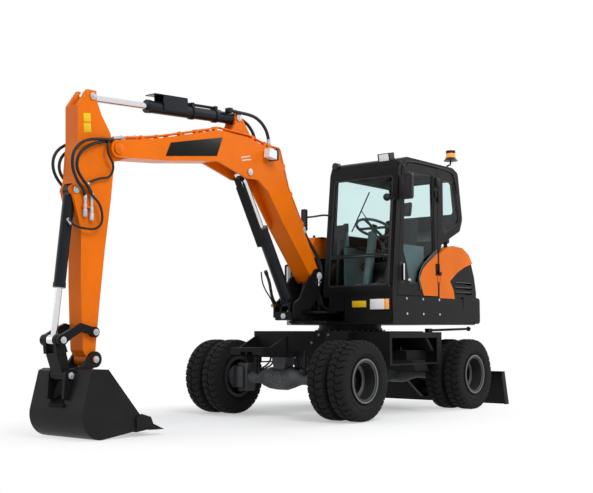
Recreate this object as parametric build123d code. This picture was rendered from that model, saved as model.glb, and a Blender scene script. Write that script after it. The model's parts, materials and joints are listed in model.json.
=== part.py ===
"""Wheeled excavator on eight twin tyres, with an offset-swing boom, a rear blade and a closed cab.

Millimetres. The sizes below are given in the machine's own frame: X points forward from the middle of the wheelbase,
Y to the machine's left, Z up from the ground. Every solid is moved by FRAME_X when it is written, so that the origin of
the files lies under the middle of the whole machine.
"""

import os
from math import atan2, cos, degrees, hypot, pi, radians, sin, sqrt, tan

from build123d import *

# ---------------------------------------------------------------- frame
FRAME_X = -1007.0  # where the middle of the wheelbase stands in the files' frame

# ---------------------------------------------------------------- clearances
FACE_GAP = 0.3  # between pieces of one body that seat on each other
PIN_GAP = 0.05  # radial clearance of pins and shafts
SIDE_GAP = 5.0  # between faces that pass each other

# ---------------------------------------------------------------- running gear
WHEELBASE = 2100.0
FRONT_X = WHEELBASE / 2
REAR_X = -WHEELBASE / 2
TYRE_RADIUS = 386.0
AXLE_Z = TYRE_RADIUS
TYRE_WIDTH = 195.0
TWIN_SPACING = 238.0  # between the middles of two twin tyres
TRACK_OUTER = 1025.0  # outer tyre's outer side, from the middle
RIM_SEAT_RADIUS = 190.5
RIM_FLANGE_RADIUS = 214.0
RIM_FLANGE_THICK = 12.0
RIM_HALF_WIDTH = 88.0
RIM_WALL = 10.0
HUB_RADIUS = 112.0
HUB_CAP_RADIUS = 72.0
DISC_THICK = 18.0
SPINDLE_RADIUS = 45.0
KINGPIN_INSET = 450.0  # from the outer tyre's outer side to the kingpin
KINGPIN_Y = TRACK_OUTER - KINGPIN_INSET
SPINDLE_END_Y = TRACK_OUTER - 195.0
HUB_START_Y = TRACK_OUTER - 377.0  # the hub's inner end
OUTER_TYRE_Y = TRACK_OUTER - TYRE_WIDTH / 2
INNER_TYRE_Y = OUTER_TYRE_Y - TWIN_SPACING
KINGPIN_RADIUS = 22.0
STEER_ARM = 190.0  # kingpin to the steering rod's ball, backwards
STEER_ROD_RADIUS = 18.0
STEER_ROD_Z = 461.0

# ---------------------------------------------------------------- axles
DIFF_RADIUS = 118.0
AXLE_TUBE_RADIUS = 60.0
FORK_INNER = 108.0  # from the axle's line to a fork arm's inner face
FORK_THICK = 34.0
PROP_SHAFT_RADIUS = 28.0
PROP_SHAFT_Y = -20.0

# ---------------------------------------------------------------- chassis
CHASSIS_FRONT_X = FRONT_X + 190.0
CHASSIS_REAR_X = REAR_X - 200.0
CHASSIS_HALF_WIDTH = 225.0
TUB_FRONT_X = FRONT_X - 530.0
TUB_REAR_X = REAR_X + 450.0
TUB_HALF_WIDTH = 420.0
CHASSIS_BOTTOM_Z = 600.0
CHASSIS_TOP_Z = 860.0
STEP_PLATE_X = FRONT_X + 560.0
STEP_PLATE_HALF_WIDTH = 205.0
STEP_PLATE_Z = 700.0
PLATE = 14.0  # welded plate
TIE_DOWN_X = STEP_PLATE_X - 210.0
TIE_DOWN_Z = 650.0
TIE_DOWN_RADIUS = 22.0

# ---------------------------------------------------------------- slewing
SLEW_X = -100.0
RING_RADIUS = 356.0
RING_BORE = 250.0
RING_SPLIT_Z = 892.0
DECK_BOTTOM_Z = 930.0

# ---------------------------------------------------------------- house
HOUSE_FRONT_X = 410.0
HOUSE_HALF_WIDTH = 906.0
CHAMFER_START_Y = -430.0  # the deck's right front corner is cut off from here
CHAMFER_END_X = -100.0  # to here on the right side
DECK_THICK = 30.0
SKIRT_TOP_Z = 1215.0
SKIRT_RIDGE_Z = 1085.0
SKIRT_INNER_Y = 300.0
TAIL_RADIUS = 1570.0
WEIGHT_FRONT_X = -1010.0
WEIGHT_TOP_Z = 1236.0
WALL = 30.0  # thickness of covers

# ---------------------------------------------------------------- cab
CAB_RIGHT_Y = 21.0
CAB_LEFT_Y = 900.0
CAB_WALL = 50.0
CAB_FLOOR_Z = 1215.3
CAB_ROOF_Z = 2674.0
DOOR_GAP = 6.0
HINGE_X = -485.0
GLASS = 6.0

# ---------------------------------------------------------------- swing post
SWING_X = 850.0
SWING_PIN_RADIUS = 35.0
SWING_BOSS_RADIUS = 55.0
BRACKET_NOSE_RADIUS = 70.0
BRACKET_TOP_Z = 1070.0
BRACKET_BOTTOM_Z = 940.0
BRACKET_PLATE = 26.0
POST_HALF_WIDTH = 105.0

# ---------------------------------------------------------------- linkage pins, as (x, z)
BOOM_FOOT = (650.0, 1431.0)
BOOM_TIP = (3355.0, 2387.0)
BOOM_CYL_BASE = (970.0, 1135.0)
BOOM_CYL_PIN = (1693.0, 2395.0)
ARM_CYL_BASE = (1812.0, 2915.0)
ARM_CYL_PIN = (3610.0, 2793.0)
BUCKET_CYL_BASE = (3764.0, 1998.0)
IDLER_PIN = (3570.0, 848.0)
LINK_PIN = (3895.0, 786.0)
BUCKET_PIN = (3565.0, 627.0)
H_PIN = (3815.0, 505.0)
BLADE_PIVOT = (REAR_X - 190.0, 470.0)
BLADE_CYL_BASE = (REAR_X - 115.0, 700.0)
BLADE_CYL_PIN = (REAR_X - 690.0, 300.0)
SWING_CYL_BASE = (50.0, -240.0)  # x, y
SWING_CYL_PIN = (842.0, -230.0)  # x, y
SWING_CYL_Z = 1005.0

# ---------------------------------------------------------------- hose ends
NOSE_FITTING = (1005.0, -92.0, 1110.0)  # x, y, z on the swing post's right cheek
FOOT_BLOCK = (650.5, 1220.0)  # x, z where the boom's hoses reach the swing post
ARM_PORT = (120.0, 46.0)  # from the arm cylinder's base pin
PIPE_UNION = (422.0, 208.0)  # behind and below the arm cylinder's base pin
HOSE_Y = 89.0
HOSE_RADIUS = 16.0

# ---------------------------------------------------------------- boom, arm and bucket sections
BOOM_HALF_WIDTH = 110.0
BOOM_EAR_THICK = 26.0
BOOM_FOOT_RADIUS = 78.0
BOOM_TIP_RADIUS = 74.0
FORK_HALF_GAP = 88.0  # half the gap between the plates that take the arm
ARM_HALF_WIDTH = 80.0
ARM_BOSS_HALF_WIDTH = 83.0
ARM_BOSS_RADIUS = 104.0
LUG_HALF_GAP = 45.0  # half the gap of a lug that takes a cylinder's eye
LUG_THICK = 22.0
BUCKET_HALF_WIDTH = 335.0
BUCKET_PLATE = 16.0
LINK_HALF_GAP = 88.0  # inner faces of the idler links and the bucket's ears
LINK_THICK = 30.0
BLADE_ARM_Y = 150.0
BLADE_ARM_THICK = 36.0
BLADE_PIN_RADIUS = 24.0
BLADE_HALF_WIDTH = 960.0
BLADE_HEIGHT = 386.0
BLADE_X = REAR_X - 800.0


# ================================================================ shapes
def outline(points, plane_point, radius=0.0):
    """A face from corner points; radius is one fillet for all corners or a list with one for each."""
    corners = [plane_point(*point) for point in points]
    if isinstance(radius, list) or radius > 0:
        return make_face(FilletPolyline(*corners, radius=radius, close=True))
    return make_face(Polyline(*corners, close=True))


def slab_y(points, y_low, y_high, radius=0.0):
    """A plate cut to an outline of (x, z) points, between two values of y."""
    face = outline(points, lambda x, z: (x, y_low, z), radius)
    return extrude(face, amount=y_high - y_low, dir=(0, 1, 0))


def slab_z(points, z_low, z_high, radius=0.0):
    """A plate cut to an outline of (x, y) points, between two values of z."""
    face = outline(points, lambda x, y: (x, y, z_low), radius)
    return extrude(face, amount=z_high - z_low, dir=(0, 0, 1))


def slab_x(points, x_low, x_high, radius=0.0):
    """A plate cut to an outline of (y, z) points, between two values of x."""
    face = outline(points, lambda y, z: (x_low, y, z), radius)
    return extrude(face, amount=x_high - x_low, dir=(1, 0, 0))


def block(x_low, x_high, y_low, y_high, z_low, z_high):
    """A box between two corners."""
    middle = ((x_low + x_high) / 2, (y_low + y_high) / 2, (z_low + z_high) / 2)
    return Pos(*middle) * Box(x_high - x_low, y_high - y_low, z_high - z_low)


def bar(start, end, radius):
    """A round bar from one point to another."""
    run = Vector(*end) - Vector(*start)
    base = (Align.CENTER, Align.CENTER, Align.MIN)
    return Plane(origin=start, z_dir=run) * Cylinder(radius, run.length, align=base)


def disc_x(y, z, radius, x_low, x_high):
    """A disc or shaft along X."""
    return bar((x_low, y, z), (x_high, y, z), radius)


def disc_y(x, z, radius, y_low, y_high):
    """A disc or shaft along Y."""
    return bar((x, y_low, z), (x, y_high, z), radius)


def disc_z(x, y, radius, z_low, z_high):
    """A disc or shaft along Z."""
    return bar((x, y, z_low), (x, y, z_high), radius)


def turned_y(profile, x, z):
    """A solid of revolution about a line along Y through (x, z), from (radius, y) points."""
    face = make_face(Polyline(*[(radius, y, 0) for radius, y in profile], close=True))
    return Pos(x, 0, z) * revolve(face, Axis.Y)


def pipe(points, radius, bend):
    """A round tube filled solid along straight runs joined by tangent arcs."""
    path = FilletPolyline(*points, radius=bend)
    start = Plane(origin=path @ 0, z_dir=path % 0)
    return sweep(start * Circle(radius), path=path)


def hose(points, radius):
    """A hose along straight runs joined by arcs as large as the runs allow; prints its radii and volume."""
    turns = []
    for before, corner, after in zip(points, points[1:], points[2:]):
        run_in, run_out = Vector(*corner) - Vector(*before), Vector(*after) - Vector(*corner)
        half_turn = radians(run_in.get_angle(run_out)) / 2
        turns.append(0.45 * min(run_in.length, run_out.length) / tan(half_turn))
    path = FilletPolyline(*points, radius=turns)
    start = Plane(origin=path @ 0, z_dir=path % 0)
    tube = sweep(start * Circle(radius), path=path)
    ideal = pi * radius**2 * path.length
    print("hose radii", [round(turn) for turn in turns], "length", round(path.length), "volume share", tube.volume / ideal)
    return tube


def mirrored(part):
    """The same piece on the machine's other side."""
    return mirror(part, about=Plane.XZ)


def both_sides(part):
    """A piece of the left side together with its mirror image."""
    return part + mirrored(part)


def plates_y(points, inner, outer, radius=0.0):
    """Two like plates at both sides of the middle, from y = inner to y = outer."""
    return both_sides(slab_y(points, inner, outer, radius))


def discs_y(x, z, radius, inner, outer):
    """Two like discs at both sides of the middle."""
    return both_sides(disc_y(x, z, radius, inner, outer))


# ================================================================ cylinders
GLAND_STEP = 4.0  # how far a gland stands out of its barrel


class Ram:
    """Sizes of one hydraulic cylinder, drawn along +X from its base pin."""

    def __init__(self, barrel_radius, rod_radius, barrel_length, rod_reach, eye_radius, pin_radius, eye_width):
        self.barrel_radius = barrel_radius
        self.rod_radius = rod_radius
        self.barrel_length = barrel_length  # base pin to the gland's face
        self.rod_reach = rod_reach  # back of the piston to the rod's eye
        self.eye_radius = eye_radius
        self.pin_radius = pin_radius
        self.eye_width = eye_width

    WALL_THICK = 11.0
    GLAND_LENGTH = 40.0
    PISTON_LENGTH = 20.0

    def barrel(self):
        """The barrel with its base eye, gland and bore."""
        half = self.eye_width / 2
        body = disc_x(0, 0, self.barrel_radius, self.eye_radius + 6, self.barrel_length)
        body += block(0, self.eye_radius + 8, -half, half, -self.eye_radius * 0.8, self.eye_radius * 0.8)
        gland = disc_x(0, 0, self.barrel_radius + GLAND_STEP, self.barrel_length - self.GLAND_LENGTH, self.barrel_length)
        eye = disc_y(0, 0, self.eye_radius, -half, half)
        bore_start = self.eye_radius + 14
        bore = disc_x(0, 0, self.bore_radius, bore_start, self.barrel_length - self.GLAND_LENGTH)
        rod_hole = disc_x(0, 0, self.rod_radius + PIN_GAP, bore_start + 1, self.barrel_length + 1)
        pin_hole = disc_y(0, 0, self.pin_radius + PIN_GAP, -self.eye_width, self.eye_width)
        return body + gland + eye - bore - rod_hole - pin_hole

    @property
    def bore_radius(self):
        """The barrel's inside radius."""
        return self.barrel_radius - self.WALL_THICK

    def rod(self, length):
        """The rod with its piston and eye, for a given distance between the pins."""
        half = self.eye_width / 2
        back = length - self.rod_reach
        piston = disc_x(0, 0, self.bore_radius - PIN_GAP, back, back + self.PISTON_LENGTH)
        shaft = disc_x(0, 0, self.rod_radius, back, length - self.eye_radius * 0.7)
        eye = disc_y(length, 0, self.eye_radius, -half, half)
        return piston + shaft + eye - disc_y(length, 0, self.pin_radius + 1, -self.eye_width, self.eye_width)


BOOM_RAM = Ram(62, 32, 860, 958, 56, 30, 84)
ARM_RAM = Ram(56, 30, 1133, 1215, 54, 28, 84)
BUCKET_RAM = Ram(48, 26, 800, 870, 44, 25, 72)
BLADE_RAM = Ram(48, 24, 440, 480, 38, 20, 60)
VALVE_LOW = 440.0  # along the boom cylinder, from its base pin
VALVE_HIGH = 640.0
GUARD_WIDTH = 104.0
GUARD_LENGTH = 760.0
COVER_START = 676.0  # along the arm cylinder, from its base pin
COVER_END = 975.0
SWING_RAM = Ram(30, 18, 560, 555, 32, 18, 40)


def between(base, pin):
    """The location that lays +X along the line from base to pin, both (x, z), and their distance."""
    dx, dz = pin[0] - base[0], pin[1] - base[1]
    return Pos(base[0], 0, base[1]) * Rot(0, -degrees(atan2(dz, dx)), 0), hypot(dx, dz)


def ram_barrel(ram, base, pin):
    """A cylinder's barrel in the X-Z plane."""
    place, _ = between(base, pin)
    return place * ram.barrel()


def ram_rod(ram, base, pin):
    """A cylinder's rod in the X-Z plane."""
    place, length = between(base, pin)
    return place * ram.rod(length)


def boom_cylinder_valve():
    """Valve block in front of the boom cylinder's barrel, on a bracket that reaches round the rod's guard."""
    place, _ = between(BOOM_CYL_BASE, BOOM_CYL_PIN)
    side = GUARD_WIDTH / 2 + 6
    front = -BOOM_RAM.barrel_radius - GLAND_STEP - 22
    bracket = block(VALVE_LOW, VALVE_HIGH, side, side + 10, front - 95, 22)
    valve = block(VALVE_LOW + 12, VALVE_HIGH - 12, -26, side, front - 88, front - 12)
    spool = disc_x(34, front - 50, 24, VALVE_LOW - 78, VALVE_LOW + 13)
    port = disc_x(-12, front - 50, 19, VALVE_LOW - 34, VALVE_LOW + 13)
    return place * (bracket + valve + spool + port)


def boom_cylinder_hose():
    """Hose from the boom cylinder's valve block down to the fitting on the swing post's nose."""
    place, _ = between(BOOM_CYL_BASE, BOOM_CYL_PIN)
    front = -BOOM_RAM.barrel_radius - GLAND_STEP - 22
    start = place * Pos(VALVE_LOW - 34, -12, front - 50)
    exit_point = start.position
    inner = (place * Pos(VALVE_LOW - 114, -12, front - 50)).position
    fitting_x, fitting_y, fitting_z = NOSE_FITTING
    points = [
        (exit_point.X, exit_point.Y, exit_point.Z),
        (inner.X, inner.Y, inner.Z),
        (fitting_x + 210, fitting_y + 64, fitting_z + 165),
        (fitting_x + 155, fitting_y + 36, fitting_z + 90),
        (fitting_x + 80, fitting_y + 9, fitting_z + 35),
        (fitting_x, fitting_y, fitting_z),
    ]
    return hose(points, 15)


def boom_rod_guard():
    """Bent plate in front of the boom cylinder's rod, held on the rod's eye."""
    place, length = between(BOOM_CYL_BASE, BOOM_CYL_PIN)
    half, front, thick = GUARD_WIDTH / 2, -BOOM_RAM.barrel_radius - GLAND_STEP - 22, 6
    low = length - GUARD_LENGTH
    plate = block(low, length - 112, -half, half, front, front + thick)
    plate += block(length - 114, length - 18, -40, 40, front, front + thick)
    flanges = both_sides(block(low, length - 112, half - thick, half, front, front + 26))
    seat = block(length - 62, length - 18, -34, 34, front, -20)
    seat -= disc_y(length, 0, BOOM_RAM.eye_radius + FACE_GAP, -60, 60)
    seat -= disc_x(0, 0, BOOM_RAM.rod_radius + 3, 0, length)
    return place * (plate + flanges + seat)


def arm_cylinder_cover():
    """Box over the arm cylinder's ports with its forward lip, and two clamps for the pipes along the barrel."""
    place, _ = between(ARM_CYL_BASE, ARM_CYL_PIN)
    radius, top = ARM_RAM.barrel_radius, ARM_RAM.barrel_radius + 58
    cover = block(COVER_START, COVER_END, -radius - 8, radius + 8, -24, top)
    cover -= block(COVER_START - 1, COVER_END + 1, -radius + 2, radius - 2, -60, top - 8)
    lip = block(COVER_END - 1, COVER_END + 105, -radius - 8, radius + 8, top - 8, top)
    clamps = None
    for start in (250, 560):
        clamp = disc_x(0, 0, radius + 9, start, start + 34) + block(start, start + 34, -34, 34, radius, radius + 34)
        clamps = clamp if clamps is None else clamps + clamp
    pipes = both_sides(disc_x(20, radius + 20, 9, 250, COVER_START + 30))
    inside = disc_x(0, 0, radius - 4, 0, ARM_RAM.barrel_length)
    piece = place * (cover + lip + clamps + pipes - inside)
    port_x, port_z = ARM_CYL_BASE[0] + ARM_PORT[0], ARM_CYL_BASE[1] + ARM_PORT[1]
    ports = both_sides(block(port_x, port_x + 46, radius - 10, HOSE_Y + 17, port_z - 22, port_z + 22))
    return piece + (ports - place * inside)


# ================================================================ undercarriage
def chassis():
    """Welded box frame with its wide middle tub, front step plate and rear blade brackets."""
    half = CHASSIS_HALF_WIDTH
    spine = block(CHASSIS_REAR_X, CHASSIS_FRONT_X, -half, half, CHASSIS_BOTTOM_Z, CHASSIS_TOP_Z)
    tub_side = TUB_HALF_WIDTH
    taper = 140
    tub = slab_z(
        [
            (TUB_FRONT_X + taper, half),
            (TUB_FRONT_X, tub_side),
            (TUB_REAR_X + taper, tub_side),
            (TUB_REAR_X, half),
            (TUB_REAR_X, -half),
            (TUB_REAR_X + taper, -tub_side),
            (TUB_FRONT_X, -tub_side),
            (TUB_FRONT_X + taper, -half),
        ],
        CHASSIS_BOTTOM_Z,
        CHASSIS_TOP_Z,
    )
    gusset = [
        (CHASSIS_FRONT_X, CHASSIS_TOP_Z - 45),
        (STEP_PLATE_X - 120, STEP_PLATE_Z),
        (STEP_PLATE_X, STEP_PLATE_Z),
        (STEP_PLATE_X, STEP_PLATE_Z - 70),
        (CHASSIS_FRONT_X, CHASSIS_BOTTOM_Z + 5),
    ]
    wide = STEP_PLATE_HALF_WIDTH
    cheeks = plates_y(gusset, wide - PLATE, wide)
    tread = block(CHASSIS_FRONT_X, STEP_PLATE_X, -wide, wide, STEP_PLATE_Z - PLATE, STEP_PLATE_Z)
    nose = slab_x(
        [
            (-wide, STEP_PLATE_Z),
            (-wide, STEP_PLATE_Z - 70),
            (-wide * 0.4, STEP_PLATE_Z - 70),
            (-wide * 0.35, STEP_PLATE_Z - 40),
            (wide * 0.35, STEP_PLATE_Z - 40),
            (wide * 0.4, STEP_PLATE_Z - 70),
            (wide, STEP_PLATE_Z - 70),
            (wide, STEP_PLATE_Z),
        ],
        STEP_PLATE_X - PLATE,
        STEP_PLATE_X,
    )
    pivot_x, pivot_z = BLADE_PIVOT
    ear = [
        (CHASSIS_REAR_X + 160, CHASSIS_BOTTOM_Z),
        (CHASSIS_REAR_X, CHASSIS_BOTTOM_Z),
        (pivot_x - 45, pivot_z - 40),
        (pivot_x + 60, pivot_z - 45),
    ]
    ears = plates_y(ear, BLADE_ARM_Y + SIDE_GAP + BLADE_ARM_THICK / 2, BLADE_ARM_Y + SIDE_GAP + 45)
    pins = discs_y(pivot_x, pivot_z, BLADE_PIN_RADIUS, BLADE_ARM_Y - 30, BLADE_ARM_Y + 45)
    base_x, base_z = BLADE_CYL_BASE
    slot_half = BLADE_RAM.barrel_radius + GLAND_STEP + 8
    lugs = discs_y(base_x, base_z, 38, BLADE_RAM.eye_width / 2 + 1, slot_half + 1)
    slot = block(base_x - 300, base_x + 48, -slot_half, slot_half, CHASSIS_BOTTOM_Z - 1, base_z + 64)
    base_pin = disc_y(base_x, base_z, BLADE_RAM.pin_radius, -slot_half, slot_half)
    eyes = disc_y(TIE_DOWN_X, TIE_DOWN_Z, TIE_DOWN_RADIUS, -wide - 1, wide + 1)
    return spine + tub + cheeks + tread + nose + ears + pins - slot + lugs + base_pin - eyes


def slew_ring():
    """The fixed half of the slewing bearing, bolted to the chassis."""
    ring = disc_z(SLEW_X, 0, RING_RADIUS, CHASSIS_TOP_Z, RING_SPLIT_Z - FACE_GAP)
    return ring - disc_z(SLEW_X, 0, RING_BORE, CHASSIS_TOP_Z - 1, RING_SPLIT_Z)


def axle_beam(x, end_y):
    """An axle's differential housing and tubes, turned about the axle's line."""
    waist = AXLE_TUBE_RADIUS
    left = [(DIFF_RADIUS, 60), (92, 150), (74, 197), (waist, 250), (waist, end_y), (0, end_y)]
    right = [(0, -end_y), (waist, -end_y), (waist, -262), (82, -237), (108, -160), (DIFF_RADIUS, -60)]
    return turned_y(left + right, x, AXLE_Z)


def front_axle():
    """Steered axle with its forks, saddle and steering cylinder; it is the middle of the undercarriage's front."""
    beam = axle_beam(FRONT_X, KINGPIN_Y - 105)
    saddle = slab_x(
        [(-95, CHASSIS_BOTTOM_Z - FACE_GAP), (-60, AXLE_Z + 60), (60, AXLE_Z + 60), (95, CHASSIS_BOTTOM_Z - FACE_GAP)],
        FRONT_X - 70,
        FRONT_X + 70,
    )
    reach = FORK_INNER + FORK_THICK
    web = slab_y(
        [(FRONT_X - 62, AXLE_Z - reach), (FRONT_X + 62, AXLE_Z - reach), (FRONT_X + 62, AXLE_Z + reach),
         (FRONT_X - 62, AXLE_Z + reach)],
        KINGPIN_Y - 145,
        KINGPIN_Y - 111,
        radius=30,
    )
    arm_low, arm_high = AXLE_Z + FORK_INNER, AXLE_Z + reach
    fork_arm = block(FRONT_X - 40, FRONT_X + 40, KINGPIN_Y - 135, KINGPIN_Y, arm_low, arm_high)
    fork_arm += disc_z(FRONT_X, KINGPIN_Y, 40, arm_low, arm_high)
    low_arm = Pos(0, 0, 2 * AXLE_Z) * mirror(fork_arm, about=Plane.XY)
    kingpins = disc_z(FRONT_X, KINGPIN_Y, KINGPIN_RADIUS, AXLE_Z + FORK_INNER - 45, arm_high + 8)
    kingpins += disc_z(FRONT_X, KINGPIN_Y, KINGPIN_RADIUS, AXLE_Z - reach - 8, AXLE_Z - FORK_INNER + 45)
    ends = both_sides(web + fork_arm + low_arm + kingpins)
    rod_x = FRONT_X - STEER_ARM
    pinion = bar((FRONT_X - 60, PROP_SHAFT_Y, AXLE_Z), (FRONT_X - 150, PROP_SHAFT_Y, AXLE_Z), 62)
    barrel = disc_y(rod_x, STEER_ROD_Z, 34, -205, 205)
    bracket = [
        (rod_x - 20, STEER_ROD_Z + 25),
        (FRONT_X, AXLE_Z + 75),
        (FRONT_X, AXLE_Z + 20),
        (rod_x + 10, STEER_ROD_Z - 28),
    ]
    brackets = plates_y(bracket, 150, 168)
    rod_hole = disc_y(rod_x, STEER_ROD_Z, STEER_ROD_RADIUS + PIN_GAP, -260, 260)
    return beam + saddle + ends + pinion + barrel + brackets - rod_hole


def rear_axle():
    """Rigid driven axle with its spindles, bolted under the chassis."""
    beam = axle_beam(REAR_X, INNER_TYRE_Y - RIM_HALF_WIDTH - 8)
    spindle = both_sides(disc_y(REAR_X, AXLE_Z, SPINDLE_RADIUS, HUB_START_Y - 88, SPINDLE_END_Y))
    flange = both_sides(disc_y(REAR_X, AXLE_Z, 120, HUB_START_Y - 88, HUB_START_Y - 4))
    seats = both_sides(block(REAR_X - 32, REAR_X + 60, 120, 205, AXLE_Z + 30, CHASSIS_BOTTOM_Z - FACE_GAP))
    pinion = disc_x(PROP_SHAFT_Y, AXLE_Z, 70, REAR_X + 60, REAR_X + 150)
    return beam + spindle + flange + seats + pinion


def drive_line():
    """Travel motor and gearbox at the rear axle, and the propeller shaft to the front axle."""
    rear, front = REAR_X + 150 + FACE_GAP, FRONT_X - 150 - FACE_GAP
    gearbox = block(rear, rear + 190, PROP_SHAFT_Y - 120, PROP_SHAFT_Y + 120, AXLE_Z - 95, AXLE_Z + 150)
    gearbox = fillet(gearbox.edges().filter_by(Axis.X), 30)
    motor = disc_x(PROP_SHAFT_Y, AXLE_Z + 85, 62, rear + 150, rear + 380)
    flange_rear = disc_x(PROP_SHAFT_Y, AXLE_Z, 46, rear + 190, rear + 215)
    shaft = disc_x(PROP_SHAFT_Y, AXLE_Z, PROP_SHAFT_RADIUS, rear + 150, front)
    flange_front = disc_x(PROP_SHAFT_Y, AXLE_Z, 46, front - 22, front)
    return gearbox + motor + flange_rear + shaft + flange_front


def lock_cylinders():
    """Two upright cylinders between chassis and front axle that lock its rocking."""
    x, y, top = FRONT_X + 52, (CHASSIS_HALF_WIDTH + KINGPIN_Y - 160) / 2, CHASSIS_BOTTOM_Z + 60
    foot_z = AXLE_Z + 20
    barrel = disc_z(x, y, 26, AXLE_Z + 110, top) + disc_z(x, y, 13, foot_z + 35, AXLE_Z + 110)
    foot = disc_z(x, y, 26, foot_z + 30, foot_z + 52)
    arm = block(x - 26, x + 26, CHASSIS_HALF_WIDTH + FACE_GAP, y, CHASSIS_BOTTOM_Z + 5, top)
    cut = disc_y(FRONT_X, AXLE_Z, AXLE_TUBE_RADIUS + FACE_GAP, 250, 400)
    return both_sides(barrel + foot + arm - cut)


def knuckle(side):
    """A front wheel's knuckle: kingpin body, spindle and steering arm. side is 1 for left, -1 for right."""
    body = disc_z(FRONT_X, KINGPIN_Y, 66, AXLE_Z - FORK_INNER + SIDE_GAP / 2, AXLE_Z + FORK_INNER - SIDE_GAP / 2)
    flange = disc_y(FRONT_X, AXLE_Z, 120, KINGPIN_Y + 48, HUB_START_Y - 4)
    spindle = disc_y(FRONT_X, AXLE_Z, SPINDLE_RADIUS, KINGPIN_Y, SPINDLE_END_Y)
    ball_x, ball_y = FRONT_X - STEER_ARM, KINGPIN_Y - 35
    arm_top = STEER_ROD_Z - 20 - SIDE_GAP
    arm = slab_z(
        [(FRONT_X - 30, KINGPIN_Y - 45), (FRONT_X - 30, KINGPIN_Y + 5), (ball_x, ball_y + 24), (ball_x, ball_y - 24)],
        arm_top - 32,
        arm_top,
    )
    arm += disc_z(ball_x, ball_y, 26, arm_top - 32, arm_top)
    bores = disc_z(FRONT_X, KINGPIN_Y, KINGPIN_RADIUS + PIN_GAP, AXLE_Z + FORK_INNER - 46, AXLE_Z + FORK_INNER)
    bores += disc_z(FRONT_X, KINGPIN_Y, KINGPIN_RADIUS + PIN_GAP, AXLE_Z - FORK_INNER, AXLE_Z - FORK_INNER + 46)
    piece = body + flange + spindle + arm - bores
    return piece if side > 0 else mirrored(piece)


def steering_rod():
    """Double-ended rod through the steering cylinder; its eyes lie over the knuckles' arms."""
    x, end_y = FRONT_X - STEER_ARM, KINGPIN_Y - 35
    rod = disc_y(x, STEER_ROD_Z, STEER_ROD_RADIUS, -end_y, end_y)
    eyes = both_sides(disc_z(x, end_y, 26, STEER_ROD_Z - 20, STEER_ROD_Z + 20))
    return rod + eyes


def tyre_profile(y):
    """Half-open section of one tyre around its middle y, as (radius, y) points."""
    half = TYRE_WIDTH / 2
    bead = RIM_SEAT_RADIUS + FACE_GAP
    side = [(bead, half * 0.7), (224, half * 0.73), (262, half * 0.94), (300, half), (352, half * 0.96), (376, half * 0.86)]
    left = [(radius, y + offset) for radius, offset in side]
    right = [(radius, y - offset) for radius, offset in reversed(side)]
    crown = [(TYRE_RADIUS, y + half * 0.45), (TYRE_RADIUS, y - half * 0.45)]
    return left + crown + right


def tyres(x, side):
    """The two tyres of a twin wheel."""
    pair = turned_y(tyre_profile(OUTER_TYRE_Y), x, AXLE_Z) + turned_y(tyre_profile(INNER_TYRE_Y), x, AXLE_Z)
    return pair if side > 0 else mirrored(pair)


def rims(x, side):
    """The two rims of a twin wheel with the spacer, the disc and the hub on its spindle."""
    outer, inner = OUTER_TYRE_Y + RIM_HALF_WIDTH, INNER_TYRE_Y - RIM_HALF_WIDTH
    seat, flange, wall = RIM_SEAT_RADIUS, RIM_FLANGE_RADIUS, RIM_SEAT_RADIUS - RIM_WALL
    thick = RIM_FLANGE_THICK
    disc_y_low = INNER_TYRE_Y + RIM_HALF_WIDTH - 30
    bead = TYRE_WIDTH / 2 * 0.72 + FACE_GAP + 3
    profile = [
        (flange, outer), (flange, outer - thick), (seat, OUTER_TYRE_Y + bead), (seat, OUTER_TYRE_Y - bead),
        (flange, OUTER_TYRE_Y - RIM_HALF_WIDTH + thick), (flange, OUTER_TYRE_Y - RIM_HALF_WIDTH),
        (seat, OUTER_TYRE_Y - RIM_HALF_WIDTH - 8), (seat, INNER_TYRE_Y + RIM_HALF_WIDTH + 8),
        (flange, INNER_TYRE_Y + RIM_HALF_WIDTH), (flange, INNER_TYRE_Y + RIM_HALF_WIDTH - thick),
        (seat, INNER_TYRE_Y + bead), (seat, INNER_TYRE_Y - bead), (flange, inner + thick), (flange, inner),
        (wall, inner), (wall, disc_y_low), (HUB_RADIUS, disc_y_low), (HUB_RADIUS, HUB_START_Y),
        (SPINDLE_RADIUS + PIN_GAP, HUB_START_Y), (SPINDLE_RADIUS + PIN_GAP, SPINDLE_END_Y + 2),
        (0, SPINDLE_END_Y + 2), (0, SPINDLE_END_Y + 32), (HUB_CAP_RADIUS, SPINDLE_END_Y + 26),
        (HUB_RADIUS - 8, SPINDLE_END_Y - 10), (HUB_RADIUS, disc_y_low + DISC_THICK),
        (wall, disc_y_low + DISC_THICK), (wall, outer),
    ]
    wheel = turned_y(profile, x, AXLE_Z)
    return wheel if side > 0 else mirrored(wheel)


def side_step(side):
    """A side box of the chassis: rails, posts, stair treads and a lower locker."""
    out_y, in_y = 878.0, TUB_HALF_WIDTH + FACE_GAP
    front, rear = 430.0, -575.0
    top, low = 850.0, 512.0
    deck = block(rear, front, in_y, out_y, top - 22, top)
    rail = block(rear, front, out_y - 14, out_y, top - 60, top)
    rear_post = block(rear, rear + 95, out_y - 14, out_y, low, top)
    front_post = block(front - 40, front, out_y - 14, out_y, low, top)
    rear_wall = block(rear, rear + 14, in_y, out_y, low, top)
    front_wall = block(front - 14, front, in_y, out_y, low + 60, top)
    sill = block(rear, front, out_y - 22, out_y, low, low + 16)
    locker = slab_y([(-70, low + 40), (-330, low + 40), (-400, low - 70), (-140, low - 70)], in_y, out_y - 60)
    stair = slab_y([(-250, top - 22), (-420, top - 200), (-470, top - 200), (-300, top - 22)], in_y + 60, out_y - 30)
    tread = slab_y([(-60, top - 200), (-470, top - 200), (-450, low + 40), (-70, low + 40)], in_y, out_y - 120)
    piece = deck + rail + rear_post + front_post + rear_wall + front_wall + sill + locker + stair + tread
    return piece if side > 0 else mirrored(piece)


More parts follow.
